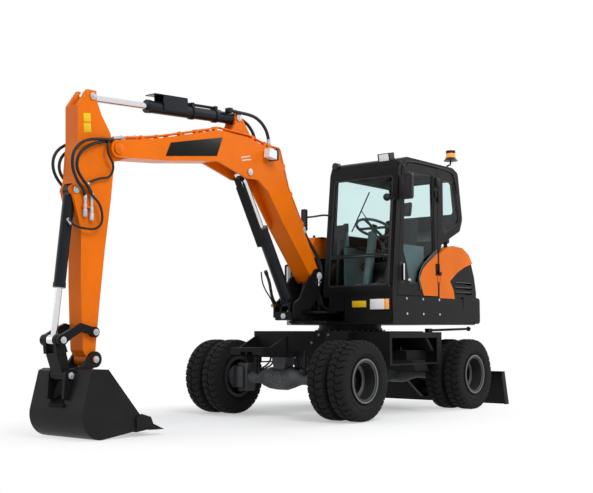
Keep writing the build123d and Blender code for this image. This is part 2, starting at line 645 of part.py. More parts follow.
def tow_bar():
    """Removable bar with a ball end, carried on the left side box."""
    bar_y, bar_z = 800.0, 868.0
    stay = block(-470, -400, bar_y - 25, bar_y + 25, 850, 888)
    shaft = bar((-435, bar_y, bar_z), (-1290, bar_y, bar_z + 18), 13)
    return stay + shaft + Pos(-1300, bar_y, bar_z + 18) * Sphere(26)


def side_steps():
    """Both side boxes with the bar stowed on the left one."""
    return side_step(1) + tow_bar() + side_step(-1)


def blade():
    """Dozer blade with its curved mouldboard, cutting edge, end plates and two arms."""
    x, height = BLADE_X, BLADE_HEIGHT
    board = slab_y(
        [(x, height + 6), (x - 42, height * 0.55), (x - 96, 24), (x - 78, 18), (x - 20, height * 0.5), (x + 26, height + 6)],
        -BLADE_HALF_WIDTH + 16,
        BLADE_HALF_WIDTH - 16,
    )
    edge = slab_y([(x - 86, 70), (x - 100, 6), (x - 84, 6), (x - 66, 70)], -BLADE_HALF_WIDTH, BLADE_HALF_WIDTH)
    top_lip = block(x, x + 60, -BLADE_HALF_WIDTH + 16, BLADE_HALF_WIDTH - 16, height - 40, height + 6)
    end = [(x + 60, height + 6), (x - 6, height + 6), (x - 100, 6), (x - 20, 6), (x + 60, height - 60)]
    ends = plates_y(end, BLADE_HALF_WIDTH - 16, BLADE_HALF_WIDTH)
    pivot_x, pivot_z = BLADE_PIVOT
    arm = [
        (pivot_x, pivot_z + 48),
        (x + 30, 250),
        (x - 30, 190),
        (x - 60, 60),
        (x + 40, 60),
        (pivot_x, pivot_z - 48),
    ]
    half = BLADE_ARM_THICK / 2
    arms = plates_y(arm, BLADE_ARM_Y - half, BLADE_ARM_Y + half)
    arms += discs_y(pivot_x, pivot_z, 48, BLADE_ARM_Y - half, BLADE_ARM_Y + half)
    pin_x, pin_z = BLADE_CYL_PIN
    lug = [(pin_x + 10, pin_z - 34), (pin_x + 30, pin_z + 20), (pin_x - 10, pin_z + 36), (x - 40, 300), (x - 60, 150)]
    lugs = plates_y(lug, 40, 58)
    cross = block(x + 20, x + 90, -BLADE_ARM_Y, BLADE_ARM_Y, 110, 170)
    bores = discs_y(pivot_x, pivot_z, BLADE_PIN_RADIUS + PIN_GAP, 0, BLADE_ARM_Y + 60)
    return board + edge + top_lip + ends + arms + lugs + cross - bores


# ================================================================ upper structure
def tail_arc_x(y):
    """X of the counterweight's rear face at a given y."""
    return SLEW_X - sqrt(TAIL_RADIUS**2 - y**2)


def corner_cut(inset):
    """What the chamfer of the house's right front corner takes away, moved inwards by an inset."""
    start_x, end_x, far = HOUSE_FRONT_X - inset, CHAMFER_END_X - inset, HOUSE_FRONT_X + 500
    return slab_z(
        [
            (start_x, CHAMFER_START_Y),
            (far, CHAMFER_START_Y),
            (far, -HOUSE_HALF_WIDTH - 400),
            (end_x, -HOUSE_HALF_WIDTH - 400),
            (end_x, -HOUSE_HALF_WIDTH),
        ],
        DECK_BOTTOM_Z - 50,
        CAB_ROOF_Z,
    )


def house_frame():
    """Deck with the moving half of the slewing bearing and the bracket that carries the swing post."""
    side = HOUSE_HALF_WIDTH - 6
    rear = WEIGHT_FRONT_X - 260
    deck = slab_z(
        [(HOUSE_FRONT_X - 6, -side), (HOUSE_FRONT_X - 6, side), (rear, side), (rear, -side)],
        DECK_BOTTOM_Z,
        DECK_BOTTOM_Z + DECK_THICK,
    )
    deck -= corner_cut(8)
    ring = disc_z(SLEW_X, 0, RING_RADIUS - 12, RING_SPLIT_Z, DECK_BOTTOM_Z)
    ring -= disc_z(SLEW_X, 0, RING_BORE, RING_SPLIT_Z - 1, DECK_BOTTOM_Z)
    shape = [
        (HOUSE_FRONT_X - 200, -185),
        (HOUSE_FRONT_X + 150, -180),
        (HOUSE_FRONT_X + 270, -100),
        (SWING_X, -BRACKET_NOSE_RADIUS),
        (SWING_X, BRACKET_NOSE_RADIUS),
        (HOUSE_FRONT_X + 270, 100),
        (HOUSE_FRONT_X + 150, 180),
        (HOUSE_FRONT_X - 200, 185),
    ]
    levels = [(BRACKET_BOTTOM_Z, BRACKET_BOTTOM_Z + BRACKET_PLATE), (BRACKET_TOP_Z - BRACKET_PLATE, BRACKET_TOP_Z)]
    bracket = block(HOUSE_FRONT_X - 200, HOUSE_FRONT_X + 280, -58, 58, levels[0][0], levels[1][1])
    for low, high in levels:
        bracket += slab_z(shape, low, high) + disc_z(SWING_X, 0, BRACKET_NOSE_RADIUS, low, high)
        bracket -= disc_z(SWING_X, 0, SWING_PIN_RADIUS + PIN_GAP, low - 1, high + 1)
    beams = both_sides(block(WEIGHT_FRONT_X - 250, HOUSE_FRONT_X - 150, 150, 175, DECK_BOTTOM_Z + DECK_THICK, SKIRT_TOP_Z))
    base_x, base_y = SWING_CYL_BASE
    stay = disc_z(base_x, base_y, SWING_RAM.pin_radius, DECK_BOTTOM_Z + DECK_THICK, SWING_CYL_Z + 45)
    front_wall = block(HOUSE_FRONT_X - 20, HOUSE_FRONT_X - 6, 90, 290, BRACKET_TOP_Z, SKIRT_TOP_Z)
    return deck + ring + bracket + beams + stay + front_wall


def skirt(side):
    """A side cover of the deck with its ridge, from the front corner to the counterweight."""
    out_y = HOUSE_HALF_WIDTH
    lean = 22
    section = [
        (SKIRT_INNER_Y, DECK_BOTTOM_Z + DECK_THICK + FACE_GAP),
        (out_y - lean, DECK_BOTTOM_Z + DECK_THICK + FACE_GAP),
        (out_y, SKIRT_RIDGE_Z),
        (out_y - 6, SKIRT_TOP_Z),
        (SKIRT_INNER_Y, SKIRT_TOP_Z),
    ]
    piece = slab_x(section, WEIGHT_FRONT_X + FACE_GAP, HOUSE_FRONT_X)
    lip = [
        (out_y - 5, DECK_BOTTOM_Z + DECK_THICK + FACE_GAP),
        (out_y - 5.7, DECK_BOTTOM_Z + 4),
        (out_y + 0, DECK_BOTTOM_Z + 4),
        (out_y, SKIRT_RIDGE_Z),
    ]
    piece += slab_x(lip, WEIGHT_FRONT_X + FACE_GAP, HOUSE_FRONT_X)
    return piece if side > 0 else mirrored(piece)


def side_skirts():
    """Both side covers of the deck, the right one cut along the chamfered corner."""
    return skirt(1) + (skirt(-1) - corner_cut(0))


def counterweight():
    """Cast tail weight whose rear face is an arc about the slewing axis."""
    disc = disc_z(SLEW_X, 0, TAIL_RADIUS, DECK_BOTTOM_Z + 12, WEIGHT_TOP_Z)
    keep = block(-3000, WEIGHT_FRONT_X, -HOUSE_HALF_WIDTH, HOUSE_HALF_WIDTH, 0, 3000)
    weight = disc & keep
    rims_ = weight.edges().filter_by(GeomType.CIRCLE).filter_by(lambda e: e.radius > TAIL_RADIUS - 1)
    weight = fillet(rims_, 40)
    deck = block(WEIGHT_FRONT_X - 261, 0, -HOUSE_HALF_WIDTH, HOUSE_HALF_WIDTH, 0, DECK_BOTTOM_Z + DECK_THICK + FACE_GAP)
    beams = both_sides(block(WEIGHT_FRONT_X - 251, 0, 149, 176, 0, SKIRT_TOP_Z + FACE_GAP))
    return weight - deck - beams


CAB_SIDE = [
    (404.0, CAB_FLOOR_Z),
    (409.0, 1272.0),
    (282.0, 2533.0),
    (238.0, 2640.0),
    (120.0, CAB_ROOF_Z),
    (-814.0, CAB_ROOF_Z),
    (-930.0, 2625.0),
    (-1018.0, 2110.0),
    (-958.0, 1975.0),
    (-568.0, 1804.0),
    (-505.0, 1700.0),
    (-505.0, CAB_FLOOR_Z),
]
CAB_ROUNDING = [0, 0, 90, 60, 90, 90, 60, 100, 40, 0, 0, 0]  # one radius for each corner of CAB_SIDE
CAB_FRONT = (CAB_SIDE[1], CAB_SIDE[2])  # foot and head of the leaning front
CAB_REAR = (CAB_SIDE[7], CAB_SIDE[6])
DOOR_SIDE = [
    (318.0, CAB_FLOOR_Z + 14),
    (318.0, 1300.0),
    (196.0, 2520.0),
    (80.0, 2622.0),
    (HINGE_X + DOOR_GAP, 2622.0),
    (HINGE_X + DOOR_GAP, CAB_FLOOR_Z + 14),
]
DOOR_WINDOW = [
    (70.0, 2540.0),
    (-400.0, 2540.0),
    (-420.0, 1725.0),
    (-160.0, 1500.0),
    (-95.0, 1350.0),
    (90.0, 1345.0),
    (150.0, 1560.0),
    (205.0, 1690.0),
    (165.0, 2440.0),
]
QUARTER_WINDOW = [(-590.0, 2520.0), (-850.0, 2520.0), (-955.0, 2110.0), (-930.0, 2050.0), (-590.0, 1900.0)]
RIGHT_WINDOW = [(190.0, 2520.0), (-850.0, 2520.0), (-955.0, 2110.0), (-930.0, 2050.0), (-560.0, 1890.0), (240.0, 1890.0)]
FRONT_WINDOW = [(76.0, 1320.0), (845.0, 1320.0), (845.0, 2470.0), (76.0, 2470.0)]
WINDSHIELD_BAR_Z = 1640.0
REAR_WINDOW = [(110.0, 2180.0), (810.0, 2180.0), (810.0, 2540.0), (110.0, 2540.0)]
CORNER = 40.0  # rounding of the window corners


def inward(points, amount, radius=0.0):
    """Corner points of an outline moved inwards by an amount, as (u, v) pairs."""
    face = make_face(Polyline(*[(u, v, 0) for u, v in points], close=True))
    return offset(face, amount=-amount, kind=Kind.INTERSECTION)


def inset_slab_y(points, amount, y_low, y_high):
    """Like slab_y, from an outline shrunk by an amount."""
    face = inward(points, amount)
    lifted = Location((0, y_low, 0), (90, 0, 0)) * face
    return extrude(lifted, amount=y_high - y_low, dir=(0, 1, 0))


def front_line_x(z):
    """X of the cab's front face at a height above its sill."""
    (x_low, z_low), (x_high, z_high) = CAB_SIDE[1], CAB_SIDE[2]
    return x_low + (x_high - x_low) * (z - z_low) / (z_high - z_low)


def leaning_slab(wall, points, depth_low, depth_high, radius, shrink=0.0):
    """A slab along a leaning end wall of the cab, from (y, z) points and depths behind its face."""
    (x_low, z_low), (x_high, z_high) = wall
    lean = atan2(x_low - x_high, z_high - z_low)
    outward = 1 if x_low > 0 else -1
    normal = (outward * cos(lean), 0, outward * sin(lean))
    plane = Plane(origin=(x_low, 0, z_low), x_dir=(0, outward, 0), z_dir=normal)
    corners = [(outward * y, (z - z_low) / cos(lean), 0) for y, z in points]
    face = make_face(FilletPolyline(*corners, radius=radius, close=True))
    if shrink > 0:
        face = offset(face, amount=-shrink)
    moved = plane.offset(-depth_high) * face
    return extrude(moved, amount=depth_high - depth_low, dir=plane.z_dir)


def pane_y(points, y_low, y_high):
    """A window pane in a side wall, slightly smaller than its opening."""
    face = make_face(FilletPolyline(*[(x, z, 0) for x, z in points], radius=CORNER, close=True))
    lifted = Location((0, y_low, 0), (90, 0, 0)) * offset(face, amount=-FACE_GAP)
    return extrude(lifted, amount=y_high - y_low, dir=(0, 1, 0))


def grown(points, amount):
    """Corner points pushed away from their middle by about an amount on each side."""
    middle_u = (min(p[0] for p in points) + max(p[0] for p in points)) / 2
    middle_v = (min(p[1] for p in points) + max(p[1] for p in points)) / 2
    return [(u + (amount if u > middle_u else -amount), v + (amount if v > middle_v else -amount)) for u, v in points]


def cab_shell():
    """Welded cab: floor, roof, pillars and right wall as one hollow frame with its window and door cut-outs."""
    outer = slab_y(CAB_SIDE, CAB_RIGHT_Y, CAB_LEFT_Y, CAB_ROUNDING)
    inner = inset_slab_y(CAB_SIDE, CAB_WALL, CAB_RIGHT_Y + CAB_WALL, CAB_LEFT_Y - CAB_WALL)
    shell = outer - inner
    door_cut = grown(DOOR_SIDE, DOOR_GAP)
    shell -= slab_y(door_cut, CAB_LEFT_Y - CAB_WALL - 1, CAB_LEFT_Y + 1)
    shell -= slab_y(QUARTER_WINDOW, CAB_LEFT_Y - CAB_WALL - 1, CAB_LEFT_Y + 1, CORNER)
    shell -= slab_y(RIGHT_WINDOW, CAB_RIGHT_Y - 1, CAB_RIGHT_Y + CAB_WALL + 1, CORNER)
    shell -= leaning_slab(CAB_FRONT, FRONT_WINDOW, -40, CAB_WALL + 14, CORNER)
    shell -= leaning_slab(CAB_REAR, REAR_WINDOW, -40, CAB_WALL + 14, CORNER)
    for low in DOOR_HINGES_Z:
        hinge = disc_z(HINGE_X, CAB_LEFT_Y + HINGE_OUT, 9, low - 40, low - 2)
        hinge += disc_z(HINGE_X, CAB_LEFT_Y + HINGE_OUT, 5, low - 10, low + 78)
        shell += hinge + block(HINGE_X - 60, HINGE_X - 1, CAB_LEFT_Y - 1, CAB_LEFT_Y + 9, low - 38, low - 4)
    return shell


def cab_glass():
    """Fixed panes: two of the windshield, left quarter, right side and rear."""
    middle = WINDSHIELD_BAR_Z
    low = [(y, min(z, middle - 3)) for y, z in FRONT_WINDOW]
    high = [(y, max(z, middle + 3)) for y, z in FRONT_WINDOW]
    depth = 12
    panes = leaning_slab(CAB_FRONT, low, depth, depth + GLASS, CORNER, FACE_GAP)
    panes += leaning_slab(CAB_FRONT, high, depth, depth + GLASS, CORNER, FACE_GAP)
    panes += leaning_slab(CAB_REAR, REAR_WINDOW, depth, depth + GLASS, CORNER, FACE_GAP)
    panes += pane_y(QUARTER_WINDOW, CAB_LEFT_Y - 16, CAB_LEFT_Y - 16 + GLASS)
    return panes + pane_y(RIGHT_WINDOW, CAB_RIGHT_Y + 10, CAB_RIGHT_Y + 10 + GLASS)


HINGE_OUT = 10.0  # how far the door's hinge line stands out of the cab's side
DOOR_HINGES_Z = [1500.0, 2300.0]


def cab_door():
    """Rear-hinged door with its window cut-out, handle and hinges."""
    inner_y = CAB_LEFT_Y - CAB_WALL
    leaf = slab_y(DOOR_SIDE, inner_y, CAB_LEFT_Y)
    leaf -= slab_y(DOOR_WINDOW, inner_y - 1, CAB_LEFT_Y + 1, CORNER)
    handle = block(228, 246, CAB_LEFT_Y, CAB_LEFT_Y + 26, 1375, 1540)
    for low in DOOR_HINGES_Z:
        leaf += disc_z(HINGE_X, CAB_LEFT_Y + HINGE_OUT, 9, low, low + 80)
        leaf += block(HINGE_X + 1, HINGE_X + 60, CAB_LEFT_Y + 1, CAB_LEFT_Y + 9, low + 5, low + 75)
        leaf += block(HINGE_X + DOOR_GAP, HINGE_X + 60, CAB_LEFT_Y, CAB_LEFT_Y + 2, low + 5, low + 75)
        leaf -= disc_z(HINGE_X, CAB_LEFT_Y + HINGE_OUT, 5 + PIN_GAP, low - 1, low + 81)
    return leaf + handle


def door_glass():
    """The door's single pane."""
    return pane_y(DOOR_WINDOW, CAB_LEFT_Y - 20, CAB_LEFT_Y - 20 + GLASS)


SEAT_X, SEAT_Y = -190.0, 460.0
CAB_DECK_Z = CAB_FLOOR_Z + CAB_WALL


def seat():
    """Suspension seat: box, cushion, backrest, headrest and armrests."""
    floor = CAB_DECK_Z + FACE_GAP
    base = block(SEAT_X - 190, SEAT_X + 190, SEAT_Y - 190, SEAT_Y + 190, floor, floor + 260)
    cushion = slab_y(
        [(SEAT_X - 240, floor + 220), (SEAT_X + 260, floor + 235), (SEAT_X + 280, floor + 330), (SEAT_X - 240, floor + 330)],
        SEAT_Y - 240,
        SEAT_Y + 240,
        30,
    )
    back = slab_y(
        [(SEAT_X - 230, floor + 300), (SEAT_X - 110, floor + 300), (SEAT_X - 210, floor + 850), (SEAT_X - 320, floor + 850)],
        SEAT_Y - 230,
        SEAT_Y + 230,
        30,
    )
    head = slab_y(
        [(SEAT_X - 300, floor + 840), (SEAT_X - 230, floor + 840), (SEAT_X - 260, floor + 1040), (SEAT_X - 340, floor + 1040)],
        SEAT_Y - 130,
        SEAT_Y + 130,
        25,
    )
    rests = block(SEAT_X - 190, SEAT_X + 190, SEAT_Y + 240, SEAT_Y + 310, floor + 470, floor + 510)
    rests += block(SEAT_X - 190, SEAT_X + 190, SEAT_Y - 310, SEAT_Y - 240, floor + 470, floor + 510)
    stays = block(SEAT_X - 215, SEAT_X - 170, SEAT_Y - 245, SEAT_Y + 245, floor + 440, floor + 510)
    return base + cushion + back + head + rests + stays


def cab_controls():
    """Steering column and wheel, joystick consoles, pedals and the right display."""
    floor = CAB_DECK_Z + FACE_GAP
    column = bar((240, SEAT_Y, floor), (110, SEAT_Y, floor + 640), 48)
    column = column & block(-400, 400, 0, 900, floor, 3000)
    hub_x, hub_z = 95.0, floor + 690
    ring_plane = Plane(origin=(hub_x, SEAT_Y, hub_z), z_dir=(-0.42, 0, 0.9))
    ring = ring_plane * Torus(190, 15)
    spokes = ring_plane * (Box(370, 30, 14) + Box(30, 370, 14))
    stem = bar((115, SEAT_Y, floor + 600), (hub_x, SEAT_Y, hub_z), 24)
    consoles = both_sides(block(SEAT_X - 120, SEAT_X + 330, 330, 365, floor, floor + 500))
    consoles = Pos(0, SEAT_Y, 0) * consoles
    sticks = Pos(0, SEAT_Y, 0) * both_sides(bar((SEAT_X + 290, 347, floor + 495), (SEAT_X + 310, 347, floor + 700), 22))
    pedals = Pos(0, SEAT_Y, 0) * both_sides(slab_y([(175, floor), (290, floor), (250, floor + 90), (220, floor + 90)], 60, 150))
    return column + ring + spokes + stem + consoles + sticks + pedals


WAVE = [
    (HINGE_X - 22, SKIRT_TOP_Z),
    (-826.0, SKIRT_TOP_Z),
    (-806.0, 1300.0),
    (-728.0, 1407.0),
    (-885.0, 1506.0),
    (-1040.0, 1572.0),
    (-1196.0, 1616.0),
    (-1290.0, 1640.0),
    (-1290.0, 2000.0),
    (HINGE_X - 22, 2000.0),
]


def left_cover(out_y):
    """The whole cover beside the engine, up to a given side face."""
    side = [
        (HINGE_X - 22, SKIRT_TOP_Z + FACE_GAP),
        (HINGE_X - 22, 1690.0),
        (-640, 1765),
        (-800, 1800),
        (-1010, 1790),
        (-1150, 1720),
        (-1215, 1640),
        (-1290, 1470),
        (-1330, 1300),
        (-1330, WEIGHT_TOP_Z + FACE_GAP),
        (WEIGHT_FRONT_X + FACE_GAP, WEIGHT_TOP_Z + FACE_GAP),
        (WEIGHT_FRONT_X + FACE_GAP, SKIRT_TOP_Z + FACE_GAP),
    ]
    shape = slab_y(side, HOOD_HALF_WIDTH + SIDE_GAP, out_y)
    corner = disc_z(SLEW_X, 0, TAIL_RADIUS - 12, 0, 3000) - disc_z(SLEW_X, 0, 200, -1, 3001)
    below_cab = inset_slab_y(CAB_SIDE, -FACE_GAP, 0, CAB_LEFT_Y + 20)
    low = DOOR_HINGES_Z[0]
    hinge = block(HINGE_X - 62, HINGE_X + 1, CAB_LEFT_Y - 2, CAB_LEFT_Y + 12, low - 40, low - 2)
    return (shape & corner) - below_cab - hinge


def left_cowl():
    """Coloured cover behind the door with its wave-shaped rear edge."""
    return left_cover(HOUSE_HALF_WIDTH - 4) & slab_y(WAVE, 0, HOUSE_HALF_WIDTH)


def left_grille():
    """Dark cover behind the coloured one, set back a little, with three louvre slots."""
    out_y = HOUSE_HALF_WIDTH - 18
    grille = left_cover(out_y) - inset_slab_y(WAVE, -FACE_GAP, 0, HOUSE_HALF_WIDTH)
    for low in (1268, 1322, 1376):
        slot = [(-860, low), (-1225, low), (-1240, low + 24), (-845, low + 24)]
        grille -= slab_y(slot, out_y - 45, out_y + 1)
    for x, z in ((-1222, 1560), (-1248, 1490), (-1272, 1420)):
        grille += slab_y([(x, z - 26), (x - 30, z - 18), (x - 34, z + 10), (x, z + 22)], out_y - 130, out_y - 8)
    return grille


def door_panel():
    """Coloured skin on the lower rear of the door, which carries the cowl's wave forward."""
    skin = [(-104, 1408), (-150, 1300), (-183, 1234), (-466, 1234), (-466, 1700), (-261, 1579), (-165, 1511)]
    low = DOOR_HINGES_Z[0]
    hinge = block(HINGE_X - 5, HINGE_X + 64, CAB_LEFT_Y, CAB_LEFT_Y + 12, low - 45, low + 85)
    return slab_y(skin, CAB_LEFT_Y + FACE_GAP, CAB_LEFT_Y + 5) - hinge


HOOD_HALF_WIDTH = 640.0
HOOD_FRONT_X = -1025.0
HOOD_REAR_X = -1560.0
HOOD_TOP_Z = 1760.0


def right_cover():
    """Covers of the right side: tank and cooler housing in front, engine side behind."""
    out_y = HOUSE_HALF_WIDTH - 4
    side = [
        (330, SKIRT_TOP_Z + FACE_GAP),
        (330, 1560),
        (300, 1790),
        (245, 1885),
        (-700, 1885),
        (-1010, 1790),
        (-1150, 1720),
        (-1215, 1640),
        (-1290, 1470),
        (-1330, 1300),
        (-1330, WEIGHT_TOP_Z + FACE_GAP),
        (WEIGHT_FRONT_X + FACE_GAP, WEIGHT_TOP_Z + FACE_GAP),
        (WEIGHT_FRONT_X + FACE_GAP, SKIRT_TOP_Z + FACE_GAP),
    ]
    shape = slab_y(side, -out_y, -HOOD_HALF_WIDTH - SIDE_GAP, 0)
    front = slab_y(side[:5] + [(HOOD_FRONT_X + 40, 1790), (HOOD_FRONT_X + 40, SKIRT_TOP_Z + FACE_GAP)], -HOOD_HALF_WIDTH - 6, -215)
    corner = disc_z(SLEW_X, 0, TAIL_RADIUS - 12, 0, 3000)
    return ((shape & corner) + front) - corner_cut(8)


def right_cowl():
    """The dark covers of the right side below the tank's cap."""
    return right_cover() - block(CAP_REAR_X, HOUSE_FRONT_X, -HOUSE_HALF_WIDTH, 0, CAP_LOW_Z, CAB_ROOF_Z)


def right_cowl_cap():
    """Coloured top of the right front housing."""
    return right_cover() & block(
        CAP_REAR_X + FACE_GAP, HOUSE_FRONT_X, -HOUSE_HALF_WIDTH, 0, CAP_LOW_Z + FACE_GAP, CAB_ROOF_Z
    )


CAP_REAR_X = -420.0
CAP_LOW_Z = 1660.0


def bulkhead():
    """Wall and mid deck between cab and engine bay."""
    low = SKIRT_TOP_Z + FACE_GAP
    wall = block(WEIGHT_FRONT_X + 6, WEIGHT_FRONT_X + 28, -210, HOOD_HALF_WIDTH, low, HOOD_TOP_Z + 20)
    for y in HOOD_HINGES_Y:
        for side in (-1, 1):
            low_y = y + side * 42 - 8
            wall += disc_y(HOOD_FRONT_X, HOOD_TOP_Z, 14, low_y, low_y + 16)
            wall += block(HOOD_FRONT_X, WEIGHT_FRONT_X + 7, low_y, low_y + 16, HOOD_TOP_Z - 14, HOOD_TOP_Z + 14)
        wall += disc_y(HOOD_FRONT_X, HOOD_TOP_Z, 8, y - 48, y + 48)
    return wall


HOOD_HINGES_Y = [-120.0, 430.0]


def engine_hood():
    """Hollow rear bonnet over the engine, hinged along its front top edge."""
    side = [
        (HOOD_FRONT_X, HOOD_TOP_Z),
        (HOOD_REAR_X + 190, HOOD_TOP_Z - 10),
        (HOOD_REAR_X + 60, HOOD_TOP_Z - 110),
        (HOOD_REAR_X, WEIGHT_TOP_Z + 200),
        (HOOD_REAR_X, WEIGHT_TOP_Z + SIDE_GAP),
        (HOOD_FRONT_X, WEIGHT_TOP_Z + SIDE_GAP),
    ]
    outer = slab_y(side, -HOOD_HALF_WIDTH, HOOD_HALF_WIDTH, [0, 120, 110, 60, 0, 0])
    inner_half = HOOD_HALF_WIDTH - WALL
    inner = slab_y([(x + (WALL if x < -1200 else 0), z - (WALL if z > 1300 else 10)) for x, z in side], -inner_half, inner_half)
    inner += block(HOOD_FRONT_X - 2, HOOD_FRONT_X + 2, -inner_half, inner_half, WEIGHT_TOP_Z, HOOD_TOP_Z - WALL)
    corner = disc_z(SLEW_X, 0, TAIL_RADIUS - 14, 0, 3000)
    hood = (outer - inner) & corner
    for low in (1286, 1326, 1366):
        hood -= block(HOOD_REAR_X - 1, HOOD_REAR_X + WALL + 1, -330, 330, low, low + 20)
    for y in HOOD_HINGES_Y:
        hood -= block(HOOD_FRONT_X - 22, HOOD_FRONT_X + 1, y - 58, y + 58, HOOD_TOP_Z - WALL - 1, HOOD_TOP_Z + 1)
        hood += disc_y(HOOD_FRONT_X, HOOD_TOP_Z, 14, y - 32, y + 32)
        hood += block(HOOD_FRONT_X - 40, HOOD_FRONT_X, y - 32, y + 32, HOOD_TOP_Z - 14, HOOD_TOP_Z - 2)
        hood -= disc_y(HOOD_FRONT_X, HOOD_TOP_Z, 8 + PIN_GAP, y - 33, y + 33)
    return hood


def engine_block():
    """The engine and pump as one plain mass on the deck."""
    return block(-1380, HOOD_FRONT_X - 20, -420, 300, WEIGHT_TOP_Z + FACE_GAP, 1640)


def lamps():
    """Head lamps at the deck's front corners, cab work lamps and the beacon on its stalk."""
    front = HOUSE_FRONT_X + FACE_GAP
    heads = block(front, HOUSE_FRONT_X + 26, 640, 880, 1075, 1190) + block(front, HOUSE_FRONT_X + 26, -420, -270, 1075, 1190)
    roof_left = Pos(190, 690, CAB_ROOF_Z - 5) * Rot(0, 12, 0) * Box(90, 150, 110)
    roof_right = bar((200, 70, CAB_ROOF_Z - 35), (262, 70, CAB_ROOF_Z - 35), 40)
    inside = inset_slab_y(CAB_SIDE, -FACE_GAP, CAB_RIGHT_Y - FACE_GAP, CAB_LEFT_Y + FACE_GAP)
    stalk = pipe([(-900, 780, 2640), (-900, 780, 2720), (-975, 780, 2745), (-985, 780, 2790)], 10, 14)
    beacon = Pos(-985, 780, 2805) * Cone(80, 56, 30) + disc_z(-985, 780, 54, 2820, 2905)
    return heads + ((roof_left + roof_right) - inside) + ((stalk + beacon) - inside)


def mirrors():
    """Outside mirrors on their bent tubes: a large left one, a small convex one and a right one."""
    left_tube = pipe([(262, 880, 2600), (300, 935, 2600), (300, 985, 2540), (270, 985, 2400)], 11, 16)
    left = slab_x([(905, 2210), (1055, 2210), (1060, 2470), (905, 2470)], 235, 275, 25)
    small = Pos(340, 796, 2235) * Sphere(40) - block(0, 330, 700, 1000, 2000, 2500)
    small += bar((290, 868, 2235), (340, 800, 2235), 8)
    right_tube = pipe([(330, 60, 2100), (400, 10, 2100), (420, -120, 2090), (420, -228, 2090)], 10, 16)
    right = slab_x([(-262, 1945), (-196, 1945), (-196, 2180), (-262, 2180)], 405, 437, 15)
    inside = inset_slab_y(CAB_SIDE, -FACE_GAP, CAB_RIGHT_Y - FACE_GAP, CAB_LEFT_Y + FACE_GAP)
    return (left_tube + left + small + right_tube + right) - inside


def handrails():
    """Grab rail along the cab's front left pillar and the rail on the right cowl."""
    def at(z, out):
        return front_line_x(z) + out

    rail = pipe([(at(1300, -6), 868, 1300), (at(1330, 44), 868, 1330), (at(2190, 44), 868, 2190), (at(2220, -6), 868, 2220)], 13, 18)
    inside = inset_slab_y(CAB_SIDE, -FACE_GAP, CAB_RIGHT_Y - FACE_GAP, CAB_LEFT_Y + FACE_GAP)
    right = pipe([(220, -591, 1330), (255, -629, 1340), (255, -629, 1590), (220, -591, 1600)], 13, 14)
    cover = right_cover()
    return (rail - inside) + (right - cover)


